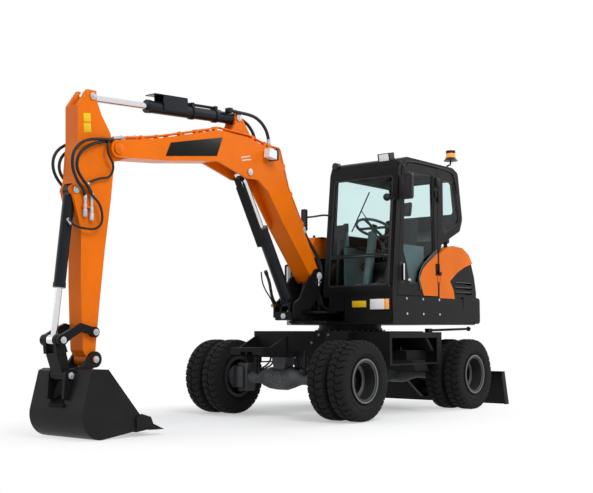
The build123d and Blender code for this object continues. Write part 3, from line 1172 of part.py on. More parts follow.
# ================================================================ swing post and boom
def swing_post():
    """Casting that carries the boom and turns on the house's bracket."""
    low, high = BRACKET_BOTTOM_Z + BRACKET_PLATE + SIDE_GAP, BRACKET_TOP_Z - BRACKET_PLATE - SIDE_GAP
    boss = disc_z(SWING_X, 0, SWING_BOSS_RADIUS, low, high)
    pin = disc_z(SWING_X, 0, SWING_PIN_RADIUS, BRACKET_BOTTOM_Z - 4, BRACKET_TOP_Z)
    half = POST_HALF_WIDTH
    web = block(SWING_X, SWING_X + 200, -60, 60, low, high)
    front_x = SWING_X + BRACKET_NOSE_RADIUS + 12
    saddle_z = BRACKET_TOP_Z + SIDE_GAP
    nose_z = saddle_z - 20
    plan = [
        (front_x, -half),
        (front_x, half),
        (front_x + 100, half),
        (front_x + 165, 70),
        (front_x + 165, -70),
        (front_x + 100, -half),
    ]
    upright = slab_z(plan, low, nose_z)
    foot_x, foot_z = BOOM_FOOT
    inner = BOOM_HALF_WIDTH + SIDE_GAP
    outer = inner + BOOM_EAR_THICK
    ear = [
        (front_x + 110, nose_z - 60),
        (front_x, nose_z - 60),
        (front_x, saddle_z),
        (foot_x + 150, saddle_z),
        (foot_x - 20, foot_z - 190),
        (foot_x - BOOM_FOOT_RADIUS + 4, foot_z - 10),
        (foot_x + 52, foot_z + 44),
        (foot_x + 134, foot_z - 17),
        (foot_x + 184, foot_z - 76),
        (foot_x + 249, foot_z - 155),
        (foot_x + 298, foot_z - 238),
        (front_x + 110, saddle_z + 60),
    ]
    ears = plates_y(ear, inner, outer) + discs_y(foot_x, foot_z, BOOM_FOOT_RADIUS - 2, inner, outer)
    base_x, base_z = BOOM_CYL_BASE
    floor = block(foot_x + 150, front_x + 20, -outer, outer, saddle_z, saddle_z + 18)
    cheeks = both_sides(block(front_x, front_x + 100, half - 2, outer - 2, nose_z - 60, nose_z))
    lug = [(front_x + 1, nose_z - 10), (front_x + 1, saddle_z), (base_x - 85, saddle_z), (base_x - 54, base_z + 5)]
    lug += [(base_x + 54, base_z - 5), (base_x + 60, nose_z - 10)]
    lug_outer = LUG_HALF_GAP + LUG_THICK
    lugs = plates_y(lug, LUG_HALF_GAP, lug_outer) + discs_y(base_x, base_z, 54, LUG_HALF_GAP, lug_outer)
    floor -= disc_y(base_x, base_z, BOOM_RAM.eye_radius + 6, -LUG_HALF_GAP, LUG_HALF_GAP)
    floor += cheeks
    run_x, run_z = FOOT_BLOCK[0] - foot_x + 66, FOOT_BLOCK[1] - foot_z + 131
    hose_plane = Plane(origin=(FOOT_BLOCK[0], 0, FOOT_BLOCK[1]), z_dir=(run_x, 0, run_z))
    floor += hose_plane * Box(76, 2 * inner + 2, 34, align=(Align.CENTER, Align.CENTER, Align.MIN))
    nose_x, nose_y, fitting_z = NOSE_FITTING
    floor += Plane(origin=NOSE_FITTING, z_dir=(-80, -9, -35)) * Cylinder(19, 40, align=(Align.CENTER, Align.CENTER, Align.MIN))
    floor += block(nose_x - 64, nose_x - 12, nose_y - 24, nose_y + 18, nose_z - 8, fitting_z + 8)
    pins = disc_y(foot_x, foot_z, BOOM_PIN_RADIUS, -outer - 10, outer + 10)
    pins += disc_y(base_x, base_z, BOOM_RAM.pin_radius, -lug_outer - 8, lug_outer + 8)
    pin_x, pin_y = SWING_CYL_PIN
    lug_low, lug_high = SWING_CYL_Z - SWING_RAM.eye_width / 2 - 1, SWING_CYL_Z + SWING_RAM.eye_width / 2 + 1
    swing_lug = slab_z([(SWING_X + 60, -40), (SWING_X + 75, -70), (pin_x + 22, pin_y - 5), (pin_x - 22, pin_y), (SWING_X - 30, -40)], low, high)
    swing_lug += disc_z(pin_x, pin_y, 30, low, high)
    swing_lug -= disc_z(pin_x, pin_y, 140, lug_low, lug_high)
    return boss + pin + web + upright + ears + floor + lugs + pins + swing_lug


BOOM_PIN_RADIUS = 38.0
ARM_PIN_RADIUS = 36.0
ELBOW_BOTTOM = (1640.0, 2440.0)


def boom_outline():
    """The side outline of the boom's box as (x, z) points."""
    fx, fz = BOOM_FOOT
    tx, tz = BOOM_TIP
    px, pz = BOOM_CYL_PIN
    return [
        (fx + 60, fz - 45),
        (fx + 111, fz + 16),
        (fx + 544, fz + 521),
        (px - 224, pz - 87),
        (px - 90, pz + 36),
        (px + 114, pz + 91),
        (tx - 607, tz - 22),
        (tx, tz - BOOM_TIP_RADIUS),
        (tx + 20, tz + 68),
        (tx - 445, tz + 154),
        (tx - 1228, tz + 354),
        (px + 25, pz + 340),
        (px - 282, pz + 276),
        (px - 428, pz + 287),
        (fx + 495, fz + 941),
        (fx + 298, fz + 607),
        (fx + 131, fz + 347),
        (fx - 30, fz + 72),
    ]


def boom():
    """Cranked box boom with its foot boss, elbow lug, cylinder lugs on top and the fork at its tip."""
    fx, fz = BOOM_FOOT
    tx, tz = BOOM_TIP
    px, pz = BOOM_CYL_PIN
    half = BOOM_HALF_WIDTH
    body = slab_y(boom_outline(), -half, half)
    body += disc_y(fx, fz, BOOM_FOOT_RADIUS, -half, half)
    tip_outer = FORK_HALF_GAP + BOOM_EAR_THICK + 2
    body += discs_y(tx, tz, BOOM_TIP_RADIUS, FORK_HALF_GAP, tip_outer)
    lug_side = [(px - 330, pz - 190), (px - 130, pz - 60), (px + 40, pz - 62), (px + 190, pz - 18), (px + 470, pz + 60)]
    lug_side += [(px + 300, pz + 110), (px - 100, pz + 110), (px - 300, pz - 60)]
    body += slab_y(lug_side, -half, half) + disc_y(px, pz, 64, -half, half)
    slot_start = tx - ARM_BOSS_RADIUS - 36
    body -= block(slot_start, tx + 300, -FORK_HALF_GAP, FORK_HALF_GAP, tz - 300, tz + 300)
    pocket = [
        (px - 390, pz - 500),
        (px - 565, pz - 545),
        (px - 540, pz - 412),
        (px - 305, pz - 55),
        (px - 230, pz + 180),
        (px - 40, pz + 200),
        (px + 110, pz + 130),
        (px + 150, pz + 92),
        (px + 480, pz + 50),
        (px + 480, pz - 330),
        (px + 100, pz - 330),
    ]
    body -= slab_y(pocket, -half + 24, half - 24)
    ax, az = ARM_CYL_BASE
    lug = [(ax - 190, az - 165), (ax - 30, az + 40), (ax + 34, az + 30), (ax + 48, az - 70), (ax + 120, az - 180), (ax, az - 200)]
    body += plates_y(lug, LUG_HALF_GAP, LUG_HALF_GAP + LUG_THICK)
    body += discs_y(ax, az, 50, LUG_HALF_GAP, LUG_HALF_GAP + LUG_THICK)
    body -= disc_y(fx, fz, BOOM_PIN_RADIUS + PIN_GAP, -200, 200)
    pins = disc_y(tx, tz, ARM_PIN_RADIUS, -tip_outer - 8, tip_outer + 8)
    pins += disc_y(ax, az, ARM_RAM.pin_radius, -LUG_HALF_GAP - LUG_THICK - 8, LUG_HALF_GAP + LUG_THICK + 8)
    pins += discs_y(px, pz, BOOM_RAM.pin_radius, BOOM_RAM.eye_width / 2 + 5, half + 8)
    return body + pins


def boom_lamp():
    """Work lamp on the boom's left side below the elbow."""
    px, pz = BOOM_CYL_PIN
    side = BOOM_HALF_WIDTH + FACE_GAP
    stay = block(px - 270, px - 230, side, side + 40, pz + 178, pz + 214)
    return stay + Pos(px - 247, side + 62, pz + 203) * Rot(0, -8, 0) * Box(126, 72, 86)


def boom_pipes():
    """Steel pipes along the boom's back and top, held by clamps."""
    fx, fz = BOOM_FOOT
    px, pz = BOOM_CYL_PIN
    tx, tz = BOOM_TIP
    route = [(fx + 196, fz + 496), (fx + 440, fz + 880), (px - 462, pz + 300), (px - 290, pz + 304), (px + 10, pz + 365),
             (tx - 1235, tz + 380), (tx - 900, tz + 290)]
    lines = None
    for y in (78, 100):
        run = pipe([(x, y, z) for x, z in route], 8, 45)
        lines = run if lines is None else lines + run
    clamps = [(0.1, 0.85), (0.55,), (), (0.2, 0.8), (), (0.15, 0.9)]
    for (x0, z0), (x1, z1), shares in zip(route, route[1:], clamps):
        for share in shares:
            lines += clamp_block(x0 + (x1 - x0) * share, z0 + (z1 - z0) * share, degrees(atan2(z1 - z0, x1 - x0)))
    union_x, union_z = ARM_CYL_BASE[0] - PIPE_UNION[0], ARM_CYL_BASE[1] - PIPE_UNION[1]
    lines += Pos(union_x, HOSE_Y, union_z - 20) * Box(60, 40, 40)
    body = inset_slab_y(boom_outline(), -FACE_GAP, -BOOM_HALF_WIDTH - 1, BOOM_HALF_WIDTH + 1)
    return both_sides(lines) - body


def arm_hoses():
    """Two hoses from the boom's pipe unions up and over to the arm cylinder's ports."""
    ax, az = ARM_CYL_BASE
    route = [
        (ax + ARM_PORT[0], az + ARM_PORT[1]),
        (ax + 6, az + 46),
        (ax - 112, az + 50),
        (ax - 226, az + 40),
        (ax - 325, az - 4),
        (ax - 392, az - 71),
        (ax - PIPE_UNION[0], az - 145),
        (ax - PIPE_UNION[0], az - PIPE_UNION[1]),
    ]
    return both_sides(hose([(x, HOSE_Y, z) for x, z in route], HOSE_RADIUS))


def boom_foot_hoses():
    """Two sleeved hose bundles from the pipes' lower ends, behind the boom's foot, to the swing post."""
    fx, fz = BOOM_FOOT
    route = [(fx + 196, fz + 496), (fx + 196 - 244 * 0.285, fz + 496 - 384 * 0.285), (fx + 26, fz + 291), (fx - 66, fz + 193), (fx - 115, fz + 83)]
    route += [(fx - 112, fz - 32), (fx - 66, fz - 131), FOOT_BLOCK]
    return both_sides(hose([(x, 87, z) for x, z in route], 19))


def clamp_block(x, z, slope):
    """A pipe clamp standing on the boom below two pipes at (x, z)."""
    return Pos(x, 89, z) * Rot(0, -slope, 0) * Pos(0, 0, -20) * Box(34, 42, 66)


def arm():
    """Tapered box arm with bosses for the boom, the links and the bucket, and lugs for two cylinders."""
    tx, tz = BOOM_TIP
    ax, az = ARM_CYL_PIN
    bx, bz = BUCKET_PIN
    ix, iz = IDLER_PIN
    ex, ez = BUCKET_CYL_BASE
    side = [
        (bx - 30, bz + 55),
        (bx - 33, bz + 116),
        (ix - 72, iz + 262),
        (tx + 99, tz - 863),
        (tx + 43, tz - 440),
        (tx + 5, tz - 60),
        (tx + 60, tz + 130),
        (ax - 101, az - 145),
        (ax - 45, az - 25),
        (ax - 40, az + 50),
        (ax + 50, az + 50),
        (ax + 150, az - 97),
        (ax + 143, az - 392),
        (ex + 10, ez + 80),
        (ex + 32, ez - 20),
        (ex - 60, ez - 330),
        (ex - 67, ez - 732),
        (ix + 110, iz + 96),
        (bx + 98, bz + 75),
        (bx + 70, bz + 30),
    ]
    half = ARM_HALF_WIDTH
    body = slab_y(side, -half, half)
    boss = ARM_BOSS_HALF_WIDTH
    body += disc_y(tx, tz, ARM_BOSS_RADIUS, -boss, boss) + disc_y(bx, bz, 62, -boss, boss)
    body += disc_y(ix, iz, 52, -boss, boss)
    head_slot = [(ax - 300, az - 112), (ax + 60, az - 112), (ax + 300, az - 60), (ax + 300, az + 200), (ax - 300, az + 200)]
    body -= slab_y(head_slot, -LUG_HALF_GAP, LUG_HALF_GAP)
    bay = [(ex - 56, ez + 52), (ex - 56, ez - 330), (ex + 200, ez - 330), (ex + 200, ez + 52)]
    body -= slab_y(bay, -BUCKET_RAM.barrel_radius - 7, BUCKET_RAM.barrel_radius + 7)
    lug_outer = LUG_HALF_GAP + LUG_THICK
    body += discs_y(ex, ez, 46, BUCKET_RAM.eye_width / 2 + 3, lug_outer)
    body -= disc_y(tx, tz, ARM_PIN_RADIUS + PIN_GAP, -200, 200)
    link_outer = LINK_HALF_GAP + LINK_THICK
    pins = disc_y(ix, iz, 26, -link_outer - 8, link_outer + 8)
    pins += disc_y(bx, bz, 30, -link_outer - 8, link_outer + 8)
    pins += disc_y(ex, ez, BUCKET_RAM.pin_radius, -half - 6, half + 6)
    pins += discs_y(ax, az, ARM_RAM.pin_radius, LUG_HALF_GAP + 1, half + 6)
    return body + pins


def idler_links():
    """Two curved side links from the arm to the link pin, whose stubs stand at both sides of the rod's eye."""
    ix, iz = IDLER_PIN
    lx, lz = LINK_PIN
    side = [
        (ix, iz - 34),
        (ix + 20, iz + 40),
        (ix + 140, iz + 72),
        (lx - 90, lz + 92),
        (lx + 26, lz + 34),
        (lx - 14, lz - 40),
        (lx - 100, lz + 20),
        (ix + 130, iz + 6),
    ]
    outer = LINK_HALF_GAP + LINK_THICK
    links = plates_y(side, LINK_HALF_GAP, outer)
    links += discs_y(ix, iz, 44, LINK_HALF_GAP, outer) + discs_y(lx, lz, 46, LINK_HALF_GAP, outer)
    links -= disc_y(ix, iz, 26 + PIN_GAP, -200, 200)
    return links + discs_y(lx, lz, BUCKET_RAM.pin_radius, LUG_HALF_GAP, outer + 8)


def h_link():
    """Cast link from the link pin down to the bucket's upper pin."""
    lx, lz = LINK_PIN
    hx, hz = H_PIN
    inner, outer = LUG_HALF_GAP, LINK_HALF_GAP - SIDE_GAP
    fork = [(lx - 45, lz - 10), (lx + 45, lz + 10), (lx + 30, lz - 110), (lx - 80, lz - 95)]
    waist = [(lx - 72, lz - 90), (lx + 22, lz - 105), (hx + 42, hz + 20), (hx - 40, hz + 30)]
    piece = plates_y(fork, inner, outer) + discs_y(lx, lz, 48, inner, outer)
    piece += slab_y(waist, -outer + 14, outer - 14)
    piece += disc_y(hx, hz, 46, -outer, outer)
    piece -= disc_y(lx, lz, BUCKET_RAM.pin_radius + PIN_GAP, -200, 200)
    return piece - disc_y(hx, hz, 24, -200, 200)


def bucket():
    """Digging bucket: rounded shell, cheeks, ears, back ribs, cutting edge, side cutters and teeth."""
    dx, dz = BUCKET_PIN
    hx, hz = H_PIN
    half, plate = BUCKET_HALF_WIDTH, BUCKET_PLATE
    ground = dz - 623
    profile = [
        (dx - 395, ground + 62),
        (dx + 362, ground - 34),
        (dx + 219, dz - 89),
        (dx + 170, dz - 71),
        (dx + 44, dz - 75),
    ]
    rounding = [0, 190, 0, 0, 0]
    outer = slab_y(profile, -half, half, rounding)
    hollow = [
        (dx - 440, ground + 62 + plate + 10),
        (dx - 254, ground + 50 + plate),
        (dx + 342, ground - 14),
        (dx + 205, dz - 96 - plate),
        (dx + 165, dz - 71 - plate),
        (dx + 30, dz - 75 - plate),
        (dx - 60, dz - 75 - plate),
    ]
    shell = outer - slab_y(hollow, -half + plate, half - plate, [0, 0, 174, 0, 0, 0, 0])
    recess = [(hx - 112, hz + 130), (hx - 112, hz - 80), (hx - 92, hz - 150), (hx - 40, hz - 172), (hx + 90, hz - 245)]
    recess += [(hx + 200, hz - 245), (hx + 200, hz + 130)]
    shell -= slab_y(recess, -LINK_HALF_GAP, LINK_HALF_GAP)
    liner = [(hx - 112, hz + 36), (hx - 112, hz - 80), (hx - 92, hz - 150), (hx - 40, hz - 172), (hx + 70, hz - 234)]
    liner += [(hx + 50, hz - 244), (hx - 46, hz - 188), (hx - 104, hz - 164), (hx - 128, hz - 84), (hx - 128, hz + 36)]
    shell += slab_y(liner, -LINK_HALF_GAP - 10, LINK_HALF_GAP + 10)
    outer_y = LINK_HALF_GAP + LINK_THICK
    ear = [
        (dx - 20, dz - 55),
        (dx - 10, dz + 64),
        (dx + 60, dz + 30),
        (dx + 120, dz - 50),
        (hx + 10, hz + 50),
        (hx + 52, hz - 20),
        (hx + 60, hz - 180),
        (hx + 30, hz - 190),
        (hx - 40, hz - 60),
        (dx + 165, dz - 80),
        (dx + 44, dz - 82),
    ]
    ears = plates_y(ear, LINK_HALF_GAP, outer_y)
    ears += discs_y(dx, dz, 66, LINK_HALF_GAP, outer_y) + discs_y(hx, hz, 52, LINK_HALF_GAP, outer_y)
    ears -= disc_y(dx, dz, 30 + PIN_GAP, -200, 200)
    stubs = discs_y(hx, hz, 26, LINK_HALF_GAP, outer_y + 10)
    lip = slab_y([(dx - 250, ground + 34), (dx - 250, ground + 68), (dx - 420, ground + 78), (dx - 470, ground + 58)], -half - 6, half + 6)
    cutter = [(dx - 250, ground + 70), (dx - 440, ground + 62), (dx - 400, ground + 150), (dx - 300, ground + 180), (dx - 240, ground + 150)]
    cutters = plates_y(cutter, half, half + 16)
    teeth = None
    tooth = [(dx - 400, ground + 42), (dx - 565, ground + 38), (dx - 440, ground + 92), (dx - 400, ground + 92)]
    for i in range(TOOTH_COUNT):
        y = -half + 30 + i * (2 * half - 60) / (TOOTH_COUNT - 1)
        one = slab_y(tooth, y - 30, y + 30)
        teeth = one if teeth is None else teeth + one
    return shell + ears + stubs + lip + cutters + teeth


TOOTH_COUNT = 5


# ================================================================ writing
def twin_wheels():
    """The tyre and rim nodes of the four twin wheels."""
    corners = [("front_left", FRONT_X, 1), ("front_right", FRONT_X, -1), ("rear_left", REAR_X, 1), ("rear_right", REAR_X, -1)]
    nodes = {}
    for name, x, side in corners:
        nodes[f"tyres_{name}"] = tyres(x, side)
        nodes[f"rims_{name}"] = rims(x, side)
    return nodes


def swing_ram(piece):
    """Lays a piece of the swing cylinder, drawn along +X, between its two upright pins."""
    (bx, by), (px, py) = SWING_CYL_BASE, SWING_CYL_PIN
    upright = Pos(bx, by, SWING_CYL_Z) * Rot(0, 0, degrees(atan2(py - by, px - bx))) * Rot(90, 0, 0)
    return upright * piece


def nodes():
    """Every node of the machine by its name."""
    (bx, by), (px, py) = SWING_CYL_BASE, SWING_CYL_PIN
    swing_length = hypot(px - bx, py - by)
    return {
        "chassis": chassis(),
        "slew_ring": slew_ring(),
        "front_axle": front_axle(),
        "rear_axle": rear_axle(),
        "drive_line": drive_line(),
        "lock_cylinders": lock_cylinders(),
        "side_steps": side_steps(),
        "knuckle_left": knuckle(1),
        "knuckle_right": knuckle(-1),
        "steering_rod": steering_rod(),
        **twin_wheels(),
        "blade": blade(),
        "blade_cylinder_barrel": ram_barrel(BLADE_RAM, BLADE_CYL_BASE, BLADE_CYL_PIN),
        "blade_cylinder_rod": ram_rod(BLADE_RAM, BLADE_CYL_BASE, BLADE_CYL_PIN),
        "house_frame": house_frame(),
        "side_skirts": side_skirts(),
        "counterweight": counterweight(),
        "cab_shell": cab_shell(),
        "cab_glass": cab_glass(),
        "cab_door": cab_door(),
        "door_glass": door_glass(),
        "door_panel": door_panel(),
        "seat": seat(),
        "cab_controls": cab_controls(),
        "cowl_panels": left_cowl() + right_cowl_cap(),
        "left_grille": left_grille(),
        "right_cowl": right_cowl(),
        "bulkhead": bulkhead(),
        "engine_hood": engine_hood(),
        "engine_block": engine_block(),
        "lamps": lamps(),
        "mirrors": mirrors(),
        "handrails": handrails(),
        "swing_post": swing_post(),
        "swing_cylinder_barrel": swing_ram(SWING_RAM.barrel()),
        "swing_cylinder_rod": swing_ram(SWING_RAM.rod(swing_length)),
        "boom": boom(),
        "boom_pipes": boom_pipes(),
        "boom_lamp": boom_lamp(),
        "arm_hoses": arm_hoses(),
        "boom_foot_hoses": boom_foot_hoses(),
        "boom_cylinder_barrel": ram_barrel(BOOM_RAM, BOOM_CYL_BASE, BOOM_CYL_PIN) + boom_cylinder_valve(),
        "boom_cylinder_hose": boom_cylinder_hose(),
        "boom_cylinder_rod": ram_rod(BOOM_RAM, BOOM_CYL_BASE, BOOM_CYL_PIN),
        "boom_rod_guard": boom_rod_guard(),
        "arm": arm(),
        "arm_cylinder_barrel": ram_barrel(ARM_RAM, ARM_CYL_BASE, ARM_CYL_PIN) + arm_cylinder_cover(),
        "arm_cylinder_rod": ram_rod(ARM_RAM, ARM_CYL_BASE, ARM_CYL_PIN),
        "bucket": bucket(),
        "bucket_cylinder_barrel": ram_barrel(BUCKET_RAM, BUCKET_CYL_BASE, LINK_PIN),
        "bucket_cylinder_rod": ram_rod(BUCKET_RAM, BUCKET_CYL_BASE, LINK_PIN),
        "idler_links": idler_links(),
        "h_link": h_link(),
    }


def main():
    """Builds every node and writes it as a STEP file."""
    os.makedirs("parts", exist_ok=True)
    for name, part in nodes().items():
        export_step(Pos(FRAME_X, 0, 0) * part, f"parts/{name}.step")


if __name__ == "__main__":
    main()
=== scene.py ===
"""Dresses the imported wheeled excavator.

Every solid gets a finish, and the treads, trim, hoses and fittings that the solids leave out are added.

Metres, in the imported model's own frame: +X forward, +Y to the machine's left, +Z up. The ground is z = 0.
"""

import json
import logging
import math
from dataclasses import dataclass
from enum import Enum
from typing import Any, Iterable, Sequence

import bpy
from mathutils import Matrix, Vector


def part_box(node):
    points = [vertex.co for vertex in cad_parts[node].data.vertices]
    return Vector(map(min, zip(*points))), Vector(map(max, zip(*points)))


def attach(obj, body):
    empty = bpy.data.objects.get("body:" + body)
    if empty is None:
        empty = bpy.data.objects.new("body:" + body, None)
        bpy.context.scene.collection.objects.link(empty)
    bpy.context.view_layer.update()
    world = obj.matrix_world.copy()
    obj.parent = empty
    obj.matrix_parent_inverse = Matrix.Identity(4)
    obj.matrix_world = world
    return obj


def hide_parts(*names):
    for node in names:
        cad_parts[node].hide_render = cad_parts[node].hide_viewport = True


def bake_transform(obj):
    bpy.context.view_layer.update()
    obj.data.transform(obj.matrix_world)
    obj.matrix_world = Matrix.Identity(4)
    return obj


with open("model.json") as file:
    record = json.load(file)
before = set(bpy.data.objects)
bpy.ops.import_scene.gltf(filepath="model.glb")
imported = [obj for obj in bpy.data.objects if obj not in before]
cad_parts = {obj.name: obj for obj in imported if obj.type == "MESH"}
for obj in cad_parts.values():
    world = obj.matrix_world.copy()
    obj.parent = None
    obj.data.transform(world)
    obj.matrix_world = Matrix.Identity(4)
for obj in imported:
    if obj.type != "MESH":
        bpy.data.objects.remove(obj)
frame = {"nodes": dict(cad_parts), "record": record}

LOG = logging.getLogger("excavator")
SHIFT_X = -1.007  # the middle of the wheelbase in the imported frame
MM = 0.001
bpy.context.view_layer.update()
Point = tuple[float, float, float]
Pin = tuple[float, float]  # x and z in machine millimetres

AHEAD, BACK = Vector((1, 0, 0)), Vector((-1, 0, 0))
LEFT, RIGHT = Vector((0, 1, 0)), Vector((0, -1, 0))
UP, DOWN = Vector((0, 0, 1)), Vector((0, 0, -1))

BOOM_FOOT: Pin = (650, 1431)
BOOM_TIP: Pin = (3355, 2387)
BOOM_CYLINDER_PIN: Pin = (1693, 2395)
ARM_CYLINDER_BASE: Pin = (1812, 2915)
ARM_CYLINDER_PIN: Pin = (3610, 2793)
BUCKET_CYLINDER_BASE: Pin = (3764, 1998)
IDLER_PIN: Pin = (3570, 848)
LINK_PIN: Pin = (3895, 786)
BUCKET_PIN: Pin = (3565, 627)
H_LINK_PIN: Pin = (3815, 505)
BLADE_PIN: Pin = (-1240, 470)
BLADE_CYLINDER_BASE: Pin = (-1165, 700)
BLADE_CYLINDER_PIN: Pin = (-1740, 300)


def at(x: float, y: float, z: float) -> Vector:
    """A point given in millimetres from the middle of the wheelbase."""
    return Vector((x / 1000 + SHIFT_X, y / 1000, z / 1000))


# ------------------------------------------------------------------ shader maths
class Value:
    """A number or link in a node tree that can be used in Python expressions."""

    def __init__(self, tree: bpy.types.NodeTree, socket: bpy.types.NodeSocket) -> None:
        """Wraps a socket of a tree."""
        self.tree = tree
        self.socket = socket

    def maths(self, operation: str, *others: Any) -> "Value":
        """Adds a Math node.

        Args:
            operation: the node's operation.
            others: further numbers or values.

        Returns:
            The node's result.
        """
        node = self.tree.nodes.new("ShaderNodeMath")
        node.operation = operation
        for socket, given in zip(node.inputs, (self, *others)):
            if isinstance(given, Value):
                self.tree.links.new(given.socket, socket)
            else:
                socket.default_value = float(given)
        return Value(self.tree, node.outputs[0])

    def flipped(self, operation: str, other: Any) -> "Value":
        """The same with the number first.

        Args:
            operation: the Math node's operation.
            other: the number that goes first.

        Returns:
            The result.
        """
        node = self.tree.nodes.new("ShaderNodeMath")
        node.operation = operation
        node.inputs[0].default_value = float(other)
        self.tree.links.new(self.socket, node.inputs[1])
        return Value(self.tree, node.outputs[0])

    def __add__(self, other: Any) -> "Value":
        """Sum."""
        return self.maths("ADD", other)

    __radd__ = __add__

    def __mul__(self, other: Any) -> "Value":
        """Product."""
        return self.maths("MULTIPLY", other)

    __rmul__ = __mul__

    def __sub__(self, other: Any) -> "Value":
        """Difference."""
        return self.maths("SUBTRACT", other)

    def __rsub__(self, other: Any) -> "Value":
        """Difference with the number first."""
        return self.flipped("SUBTRACT", other)

    def __truediv__(self, other: Any) -> "Value":
        """Quotient."""
        return self.maths("DIVIDE", other)

    def __pow__(self, other: Any) -> "Value":
        """Power."""
        return self.maths("POWER", other)

    def clamped(self) -> "Value":
        """Kept between 0 and 1.

        Returns:
            The clamped value.
        """
        kept = self.maths("ADD", 0.0)
        kept.socket.node.use_clamp = True
        return kept

    def ramp(self, low: float, high: float) -> "Value":
        """0 at low, 1 at high, straight between them."""
        return ((self - low) / (high - low)).clamped()


class Recipe:
    """One material under construction."""

    def __init__(self, name: str) -> None:
        """Starts a material with an empty node tree and a Principled shader.

        Args:
            name: the material's name.
        """
        self.material = bpy.data.materials.new(name)
        self.material.use_nodes = True
        self.tree = self.material.node_tree
        self.tree.nodes.clear()
        self.output = self.tree.nodes.new("ShaderNodeOutputMaterial")
        self.shader = self.tree.nodes.new("ShaderNodeBsdfPrincipled")
        self.tree.links.new(self.shader.outputs[0], self.output.inputs[0])

    def node(self, kind: str, settings: dict[str, Any] | None = None, **sockets: Any) -> bpy.types.Node:
        """Adds any other node.

        Args:
            kind: the node's type.
            settings: its properties, set first.
            sockets: values or links of its inputs, by name with _ for a space.

        Returns:
            The node.
        """
        node = self.tree.nodes.new(kind)
        for key, value in (settings or {}).items():
            setattr(node, key, value)
        for key, value in sockets.items():
            self.feed(node.inputs[key.replace("_", " ")], value)
        return node

    def feed(self, socket: bpy.types.NodeSocket, value: Any) -> None:
        """Gives a socket a link or a plain value."""
        if isinstance(value, Value):
            self.tree.links.new(value.socket, socket)
        elif isinstance(value, bpy.types.NodeSocket):
            self.tree.links.new(value, socket)
        else:
            socket.default_value = value

    def place(self) -> bpy.types.NodeSocket:
        """The object's own coordinates."""
        return self.node("ShaderNodeTexCoord").outputs["Object"]

    def axes(self) -> tuple[Value, Value, Value]:
        """The object coordinates as three values in metres."""
        split = self.node("ShaderNodeSeparateXYZ", Vector=self.place())
        return tuple(Value(self.tree, s) for s in split.outputs)

    def noise(self, scale: float, detail: float = 3.0, roughness: float = 0.55, vector: Any = None) -> Value:
        """Smooth noise of about 0 to 1 over the object coordinates.

        Args:
            scale: how fine the pattern is.
            detail: how many finer layers it has.
            roughness: how strong the finer layers are.
            vector: coordinates to use in place of the object's own.

        Returns:
            The noise as a value.
        """
        node = self.node("ShaderNodeTexNoise", Scale=scale, Detail=detail, Roughness=roughness)
        self.feed(node.inputs["Vector"], vector if vector is not None else self.place())
        return Value(self.tree, node.outputs[0])

    def blend(self, factor: Any, first: Any, second: Any) -> bpy.types.NodeSocket:
        """Mixes two colours.

        Args:
            factor: 0 for the first colour, 1 for the second.
            first: the first colour.
            second: the second colour.

        Returns:
            The mixed colour.
        """
        node = self.node("ShaderNodeMix", {"data_type": "RGBA"})
        self.feed(node.inputs[0], factor)
        for socket, colour in ((node.inputs[6], first), (node.inputs[7], second)):
            self.feed(socket, (*colour, 1.0) if isinstance(colour, tuple) and len(colour) == 3 else colour)
        return node.outputs[2]

    def bump(self, height: Value, strength: float, distance: float = 0.001) -> None:
        """Lets a height change the normal."""
        node = self.node("ShaderNodeBump", Strength=strength, Distance=distance, Height=height)
        self.feed(self.shader.inputs["Normal"], node.outputs[0])

    def set(self, **sockets: Any) -> None:
        """Sets sockets of the shader, by name with _ for a space."""
        for key, value in sockets.items():
            if isinstance(value, tuple) and len(value) == 3:
                value = (*value, 1.0)
            self.feed(self.shader.inputs[key.replace("_", " ")], value)


# ------------------------------------------------------------------ finishes
Colour = tuple[float, float, float]
DUST: Colour = (0.23, 0.2, 0.165)


@dataclass(frozen=True)
class Paint:
    """Sprayed paint on steel with slight dust, orange peel and fine scuffs."""

    name: str
    colour: Colour
    roughness: float = 0.35
    coat: float = 0.3
    dust: float = 0.12
    dust_height: float = 1.4
    shine: float = 0.14

    def make(self) -> bpy.types.Material:
        """Builds the material.

        Returns:
            The material.
        """
        r = Recipe(self.name)
        _, _, z = r.axes()
        cloud = r.noise(2.6, 5.0, 0.6)
        grain = r.noise(60.0, 4.0, 0.65)
        low = 1 - z.ramp(0.0, self.dust_height)
        dirt = ((cloud * 0.9 + grain * 0.5 - 0.35) * (0.25 + low * 0.75) * (self.dust * 2.2)).clamped()
        deep = tuple(c * 0.86 for c in self.colour)
        base = r.blend(cloud.ramp(0.35, 0.7), deep, self.colour)
        r.set(Base_Color=r.blend(dirt, base, DUST), Coat_Weight=self.coat, Coat_Roughness=0.12)
        r.set(Specular_IOR_Level=self.shine, Coat_IOR=1.25)
        r.set(Roughness=(grain * 0.12 + dirt * 0.5 + (self.roughness - 0.06)).clamped())
        r.bump(r.noise(420.0, 2.0), 0.08, 0.0004)
        return r.material


@dataclass(frozen=True)
class Casting:
    """Painted or bare cast iron with a pebbled skin."""

    name: str
    colour: Colour
    roughness: float = 0.62

    def make(self) -> bpy.types.Material:
        """Builds the material.

        Returns:
            The material.
        """
        r = Recipe(self.name)
        cloud = r.noise(9.0, 5.0, 0.6)
        skin = r.noise(260.0, 3.0, 0.6)
        pale = tuple(min(1.0, c * 1.6 + 0.012) for c in self.colour)
        r.set(Base_Color=r.blend(cloud.ramp(0.4, 0.75), self.colour, pale), Metallic=0.15)
        r.set(Roughness=(cloud * 0.2 + self.roughness - 0.1).clamped())
        r.bump(skin + cloud * 2.0, 0.25, 0.0012)
        return r.material


